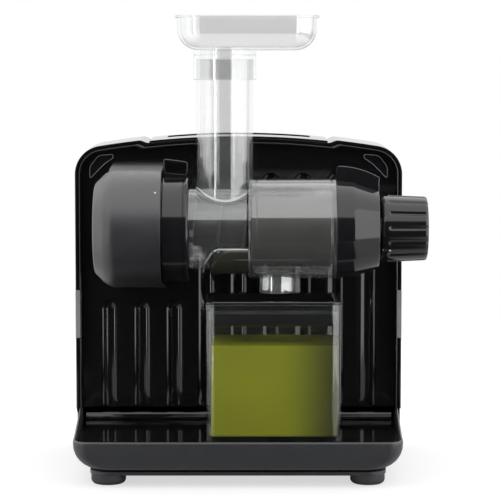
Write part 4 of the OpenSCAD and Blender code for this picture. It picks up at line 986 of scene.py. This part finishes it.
def make_knob():
    s = Shape()
    a, b = KNOB[0].x, KNOB[1].x
    R0, R1 = 28.3, 26.8
    count, per = 14, 16
    groove_at, groove_half = 0.7, 0.14

    def loop(x, r, depth):
        out = []
        for k in range(count * per):
            t = 2 * math.pi * k / (count * per)
            off = abs((k % per) / per - groove_at)
            rr = r - depth * max(0.0, 1 - (off / groove_half) ** 2) ** 0.5
            out.append((x, rr * math.sin(t), AXIS_Z + rr * math.cos(t)))
        return out

    def slope(x):
        return R0 + (R1 - R0) * (x - a - 5) / (b - a - 5)

    rings = [loop(a, 4, 0), loop(a, 26, 0), loop(a + 0.3, 26.7, 0), loop(a + 1.2, 27.4, 0), loop(a + 2.4, 28, 0)]
    rings += [loop(a + 4, slope(a + 5), 0), loop(a + 6, slope(a + 6), 0.2)]
    rings += [loop(a + 6.8, slope(a + 7), 0.8), loop(a + 8, slope(a + 8), 1.1)]
    rings += [loop(x, slope(x), 1.1) for x in (a + 14, a + 22, a + 30, b - 3)]
    rings += [loop(b - 1.8, R1 - 0.1, 1.1), loop(b - 0.9, R1 - 0.5, 1), loop(b - 0.3, R1 - 1.2, 0.6),
              loop(b, R1 - 2.2, 0), loop(b, 21, 0),
              loop(b - 0.5, 20.2, 0), loop(b - 0.5, 3, 0)]
    s.loft(rings, cap=(True, True))
    s.put("knob_body", "knob_black", "knob", ["adjusting_knob"], sharp=50)
    mark = Shape()
    z = 193.6
    y = -math.sqrt(28 ** 2 - (AXIS_Z - z) ** 2)
    n = Vector((0, y, z - AXIS_Z)).normalized()
    t = Vector((0, -n.z, n.y))
    rings = []
    for x, r in ((a + 0.9, 27.2), (a + 3, 28), (a + 7.6, 28.2)):
        c = Vector((x, n.y * r, AXIS_Z + n.z * r))
        rings.append([c + t * 0.7 - n * 0.3, c + t * 0.7 + n * 0.12, c - t * 0.7 + n * 0.12, c - t * 0.7 - n * 0.3])
    mark.loft(rings, cap=(True, True))
    mark.put("knob_mark", "mark_white", "knob")


# ------------------------------------------------------------------ container
def make_container():
    cx, cy = (CUP[0].x + CUP[1].x) / 2, (CUP[0].y + CUP[1].y) / 2
    lx, ly = CUP[1].x - CUP[0].x, CUP[1].y - CUP[0].y
    z0, z1 = CUP[0].z, CUP[1].z

    def loop(d, z, corner=9):
        return plan(rectangle(cx, cy, lx - 2 * d, ly - 2 * d, max(corner - d, 1)), z)

    s = Shape()
    rings = [loop(2.4, z0), loop(1.2, z0 + 0.4), loop(0.7, z0 + 1.6), loop(0.7, z1 - 5.6), loop(0.55, z1 - 5),
             loop(0, z1 - 4.4), loop(0, z1 - 0.4), loop(0.4, z1), loop(2, z1),
             loop(2.4, z1 - 0.4), loop(2.4, z0 + 6), loop(3.4, z0 + 4.4), loop(5, z0 + 4)]
    s.loft(rings, cap=(True, True))
    s.put("container_shell", "cup_clear", "container", ["juice_container"])
    j = Shape()
    rings = [loop(5, z0 + 4.2), loop(3.5, z0 + 4.7), loop(2.6, z0 + 6.2), loop(2.6, JUICE_LEVEL - 0.3),
             loop(3, JUICE_LEVEL)]
    rings = [[(max(x, CUP[0].x + 5), y, z) for x, y, z in ring] for ring in rings]
    j.loft(rings, cap=(True, True))
    j.put("juice_fill", "juice", "container")
    # lid
    s = Shape()
    L0, L1 = LID[0].z, LID[1].z
    rings = [loop(8.2, L0 + 1.5), loop(6.6, L0 + 2), loop(5.6, L0 + 3.4), loop(5.2, L0 + 5), loop(5, L1 - 2.4),
             loop(0.9, L1 - 2.4), loop(0.4, L1 - 1.9), loop(0.4, L1 - 0.7), loop(1.1, L1), loop(5, L1),
             loop(6.9, L1 - 0.6), loop(7, L0 + 5.2), loop(8.2, L0 + 4.4)]
    ids = s.loft(rings)
    hole = circle(SPOUT_X, 0, LID_HOLE_R, 48)
    low, high = s.add(plan(hole, L0 + 1.5)), s.add(plan(hole, L0 + 4.4))
    s.fill([ids[0], low])
    s.fill([ids[-1], high])
    s.bridge(low, high)
    s.put("lid_body", "lid_dark", "container", ["container_lid"])


def make_inlays():
    s = Shape()
    for side_x in (-1, 1):
        w = 4.2
        outline = rectangle(side_x * (HALF_W - w / 2 + 0.15), (INLAY[0].z + INLAY[1].z) / 2, w,
                            INLAY[1].z - INLAY[0].z, 0.8, 3)
        rings = [front(inset(outline, i), y) for i, y in ((0.5, RIM_Y - 0.25), (0.15, RIM_Y - 0.1), (0, RIM_Y + 0.3),
                                                         (0, RIM_Y + 9))]
        s.loft(rings, cap=(True, True))
    s.put("rim_strips", "inlay_grey", "base", ["side_inlays"])


def make_trim_highlights():
    """Painted highlight: thin grey tubes along the edges of the two corner trims, where those edges catch the light."""
    y = sizes("corner_trims")[0].y - 0.1
    corners = [(109.5, 265.6), (109.5, 268.8), (122, 268), (129.7, 258), (129.7, 247.5), (125.3, 252), (117, 260.5)]
    edge = fillet(corners, [0.8, 0.8, 8, 8, 0.8, 2, 3], 5)
    s = Shape()
    for sign in (-1, 1):
        tube(s, [(sign * x, y, z) for x, z in edge], 0.35, closed=True, steps=6)
    s.put("corner_highlights", "inlay_grey", "base")


make_trim_highlights()
make_shell()
make_wall()
make_tray()
make_drive()
make_ring()
make_clear()
make_auger()
make_cap()
make_knob()
make_container()
make_inlays()

# ------------------------------------------------------------------ CAD pieces kept as they are
SLOT_OF = {part["node"]: part["material_slot"] for part in frame["record"]["subparts"]}
for name, ob in frame["nodes"].items():
    slot_name = SLOT_OF[name]
    ob.data.materials.clear()
    ob.data.materials.append(MATERIALS[slot_name])
    if name in ("corner_trims", "rear_cover", "base_pan", "carry_handle", "switch_bezel", "feet", "cord_inlet"):
        mod = ob.modifiers.new("edges", "BEVEL")
        mod.width = 0.0005
        mod.segments = 2
        mod.limit_method = "ANGLE"
        mod.angle_limit = math.radians(40)
        mod.harden_normals = True


# ------------------------------------------------------------------ floor and world
def floor_material():
    """Pale to the camera; to mirrors, dark before the object and bright beside it and near its lip."""
    mat, tree, bsdf, _ = nodes_of("studio_floor")
    bsdf.inputs["Roughness"].default_value = 0.9
    bsdf.inputs["Specular IOR Level"].default_value = 0.0
    path = tree.nodes.new("ShaderNodeLightPath")
    seen = math_node(tree, "MAXIMUM", path.outputs["Is Camera Ray"], path.outputs["Is Transmission Ray"])
    x, y, _ = axes(tree)
    beside = ramp(tree, math_node(tree, "ABSOLUTE", x), 0.17, 0.23, 0.03, 0.9, "LINEAR")
    lip = ramp(tree, y, -0.14, -0.11, 0, 0.9, "LINEAR")
    bright = math_node(tree, "MAXIMUM", beside, lip)
    unseen = math_node(tree, "SUBTRACT", 1, seen)
    plain = ramp(tree, seen, 0, 1, 0, 0.5, "LINEAR")
    shade = math_node(tree, "MULTIPLY_ADD", bright, unseen, plain)
    tree.links.new(shade, bsdf.inputs["Base Color"])
    bsdf.inputs["Emission Color"].default_value = (1, 1, 1, 1)
    tree.links.new(math_node(tree, "MULTIPLY", seen, 0.62), bsdf.inputs["Emission Strength"])
    return mat


# the floor ends soon, so that it hides none of the side lights from mirrors
FLOOR_HALF, FLOOR_FRONT, FLOOR_BACK = 0.6, -0.5, 0.8
mesh = bpy.data.meshes.new("studio_floor")
mesh.from_pydata([(-FLOOR_HALF, FLOOR_FRONT, 0), (FLOOR_HALF, FLOOR_FRONT, 0), (FLOOR_HALF, FLOOR_BACK, 0),
                  (-FLOOR_HALF, FLOOR_BACK, 0)], [], [(0, 1, 2, 3)])
ground = bpy.data.objects.new("studio_floor", mesh)
bpy.context.scene.collection.objects.link(ground)
ground.location.z = -0.0002
mesh.materials.append(floor_material())


def studio_world():
    """White to the camera; to mirrors, a softbox overhead, light behind, upright panels and a dark front."""
    world = bpy.data.worlds.new("studio")
    bpy.context.scene.world = world
    world.use_nodes = True
    tree = world.node_tree
    back = tree.nodes["Background"]
    x, y, z = axes(tree, "Generated")

    def rise(degrees):
        return math.sin(math.radians(degrees))

    overhead = ramp(tree, z, rise(28), rise(31), 0, SOFTBOX)
    behind = math_node(tree, "MULTIPLY", ramp(tree, y, 0.0, 0.3, 0, 1.0), ramp(tree, z, -0.25, -0.05, 0, 1))
    azimuth = math_node(tree, "ARCTAN2", x, math_node(tree, "MULTIPLY", y, -1))

    def panel(centre, half, soft, low, high, level):
        """An upright light: azimuth and heights in degrees, to the right of the front."""
        off = math_node(tree, "ABSOLUTE", math_node(tree, "SUBTRACT", azimuth, math.radians(centre)))
        across = ramp(tree, off, math.radians(half), math.radians(half + soft), level, 0)
        up = math_node(tree, "MULTIPLY", ramp(tree, z, rise(low - 3), rise(low + 3), 0, 1),
                       ramp(tree, z, rise(high - 4), rise(high + 4), 1, 0))
        return math_node(tree, "MULTIPLY", across, up)

    lights = [overhead, behind, ramp(tree, z, -0.3, 0.5, FRONT_LOW, FRONT_HIGH)]
    lights += [panel(*p) for p in PANELS]
    studio = lights[0]
    for one in lights[1:]:
        studio = math_node(tree, "MAXIMUM", studio, one)
    path = tree.nodes.new("ShaderNodeLightPath")
    seen = math_node(tree, "MAXIMUM", path.outputs["Is Camera Ray"], path.outputs["Is Transmission Ray"])
    diffuse = math_node(tree, "MULTIPLY", path.outputs["Is Diffuse Ray"], math_node(tree, "SUBTRACT", 1, seen))
    mirror = math_node(tree, "SUBTRACT", 1, math_node(tree, "MAXIMUM", seen, diffuse))
    lit = math_node(tree, "MULTIPLY", diffuse, ramp(tree, z, -0.2, 0.9, 0.75, 1.1))
    mirrored_light = math_node(tree, "MULTIPLY", mirror, studio)
    total = math_node(tree, "ADD", seen, math_node(tree, "ADD", lit, mirrored_light))
    tree.links.new(total, back.inputs["Strength"])
    back.inputs["Color"].default_value = (1, 1, 1, 1)
    world.cycles.sampling_method = "NONE"


SOFTBOX, FRONT_LOW, FRONT_HIGH = 2.0, 0.01, 0.05
# centre and half width of the azimuth, softness, lowest and highest elevation, level
PANELS = [(-41, 2.0, 1.5, -30, 42, 7.0), (-105, 40, 10, -35, 60, 1.7), (64, 37, 2, -20, 46, 3.0)]
studio_world()

# ------------------------------------------------------------------ camera
EYE = (9.96, -1883, 370.4)
VIEW_ANGLE, PITCH_DOWN = 12.72, 5.42
cam = bpy.data.cameras.new("camera")
cam.sensor_fit = "HORIZONTAL"
cam.angle = math.radians(VIEW_ANGLE)
cam.clip_end = 100
eye = bpy.data.objects.new("camera", cam)
bpy.context.scene.collection.objects.link(eye)
eye.location = ORIGIN + Vector(EYE) * MM
eye.rotation_euler = (math.radians(90 - PITCH_DOWN), 0, 0)
bpy.context.scene.camera = eye
bpy.context.scene.view_settings.view_transform = "Standard"
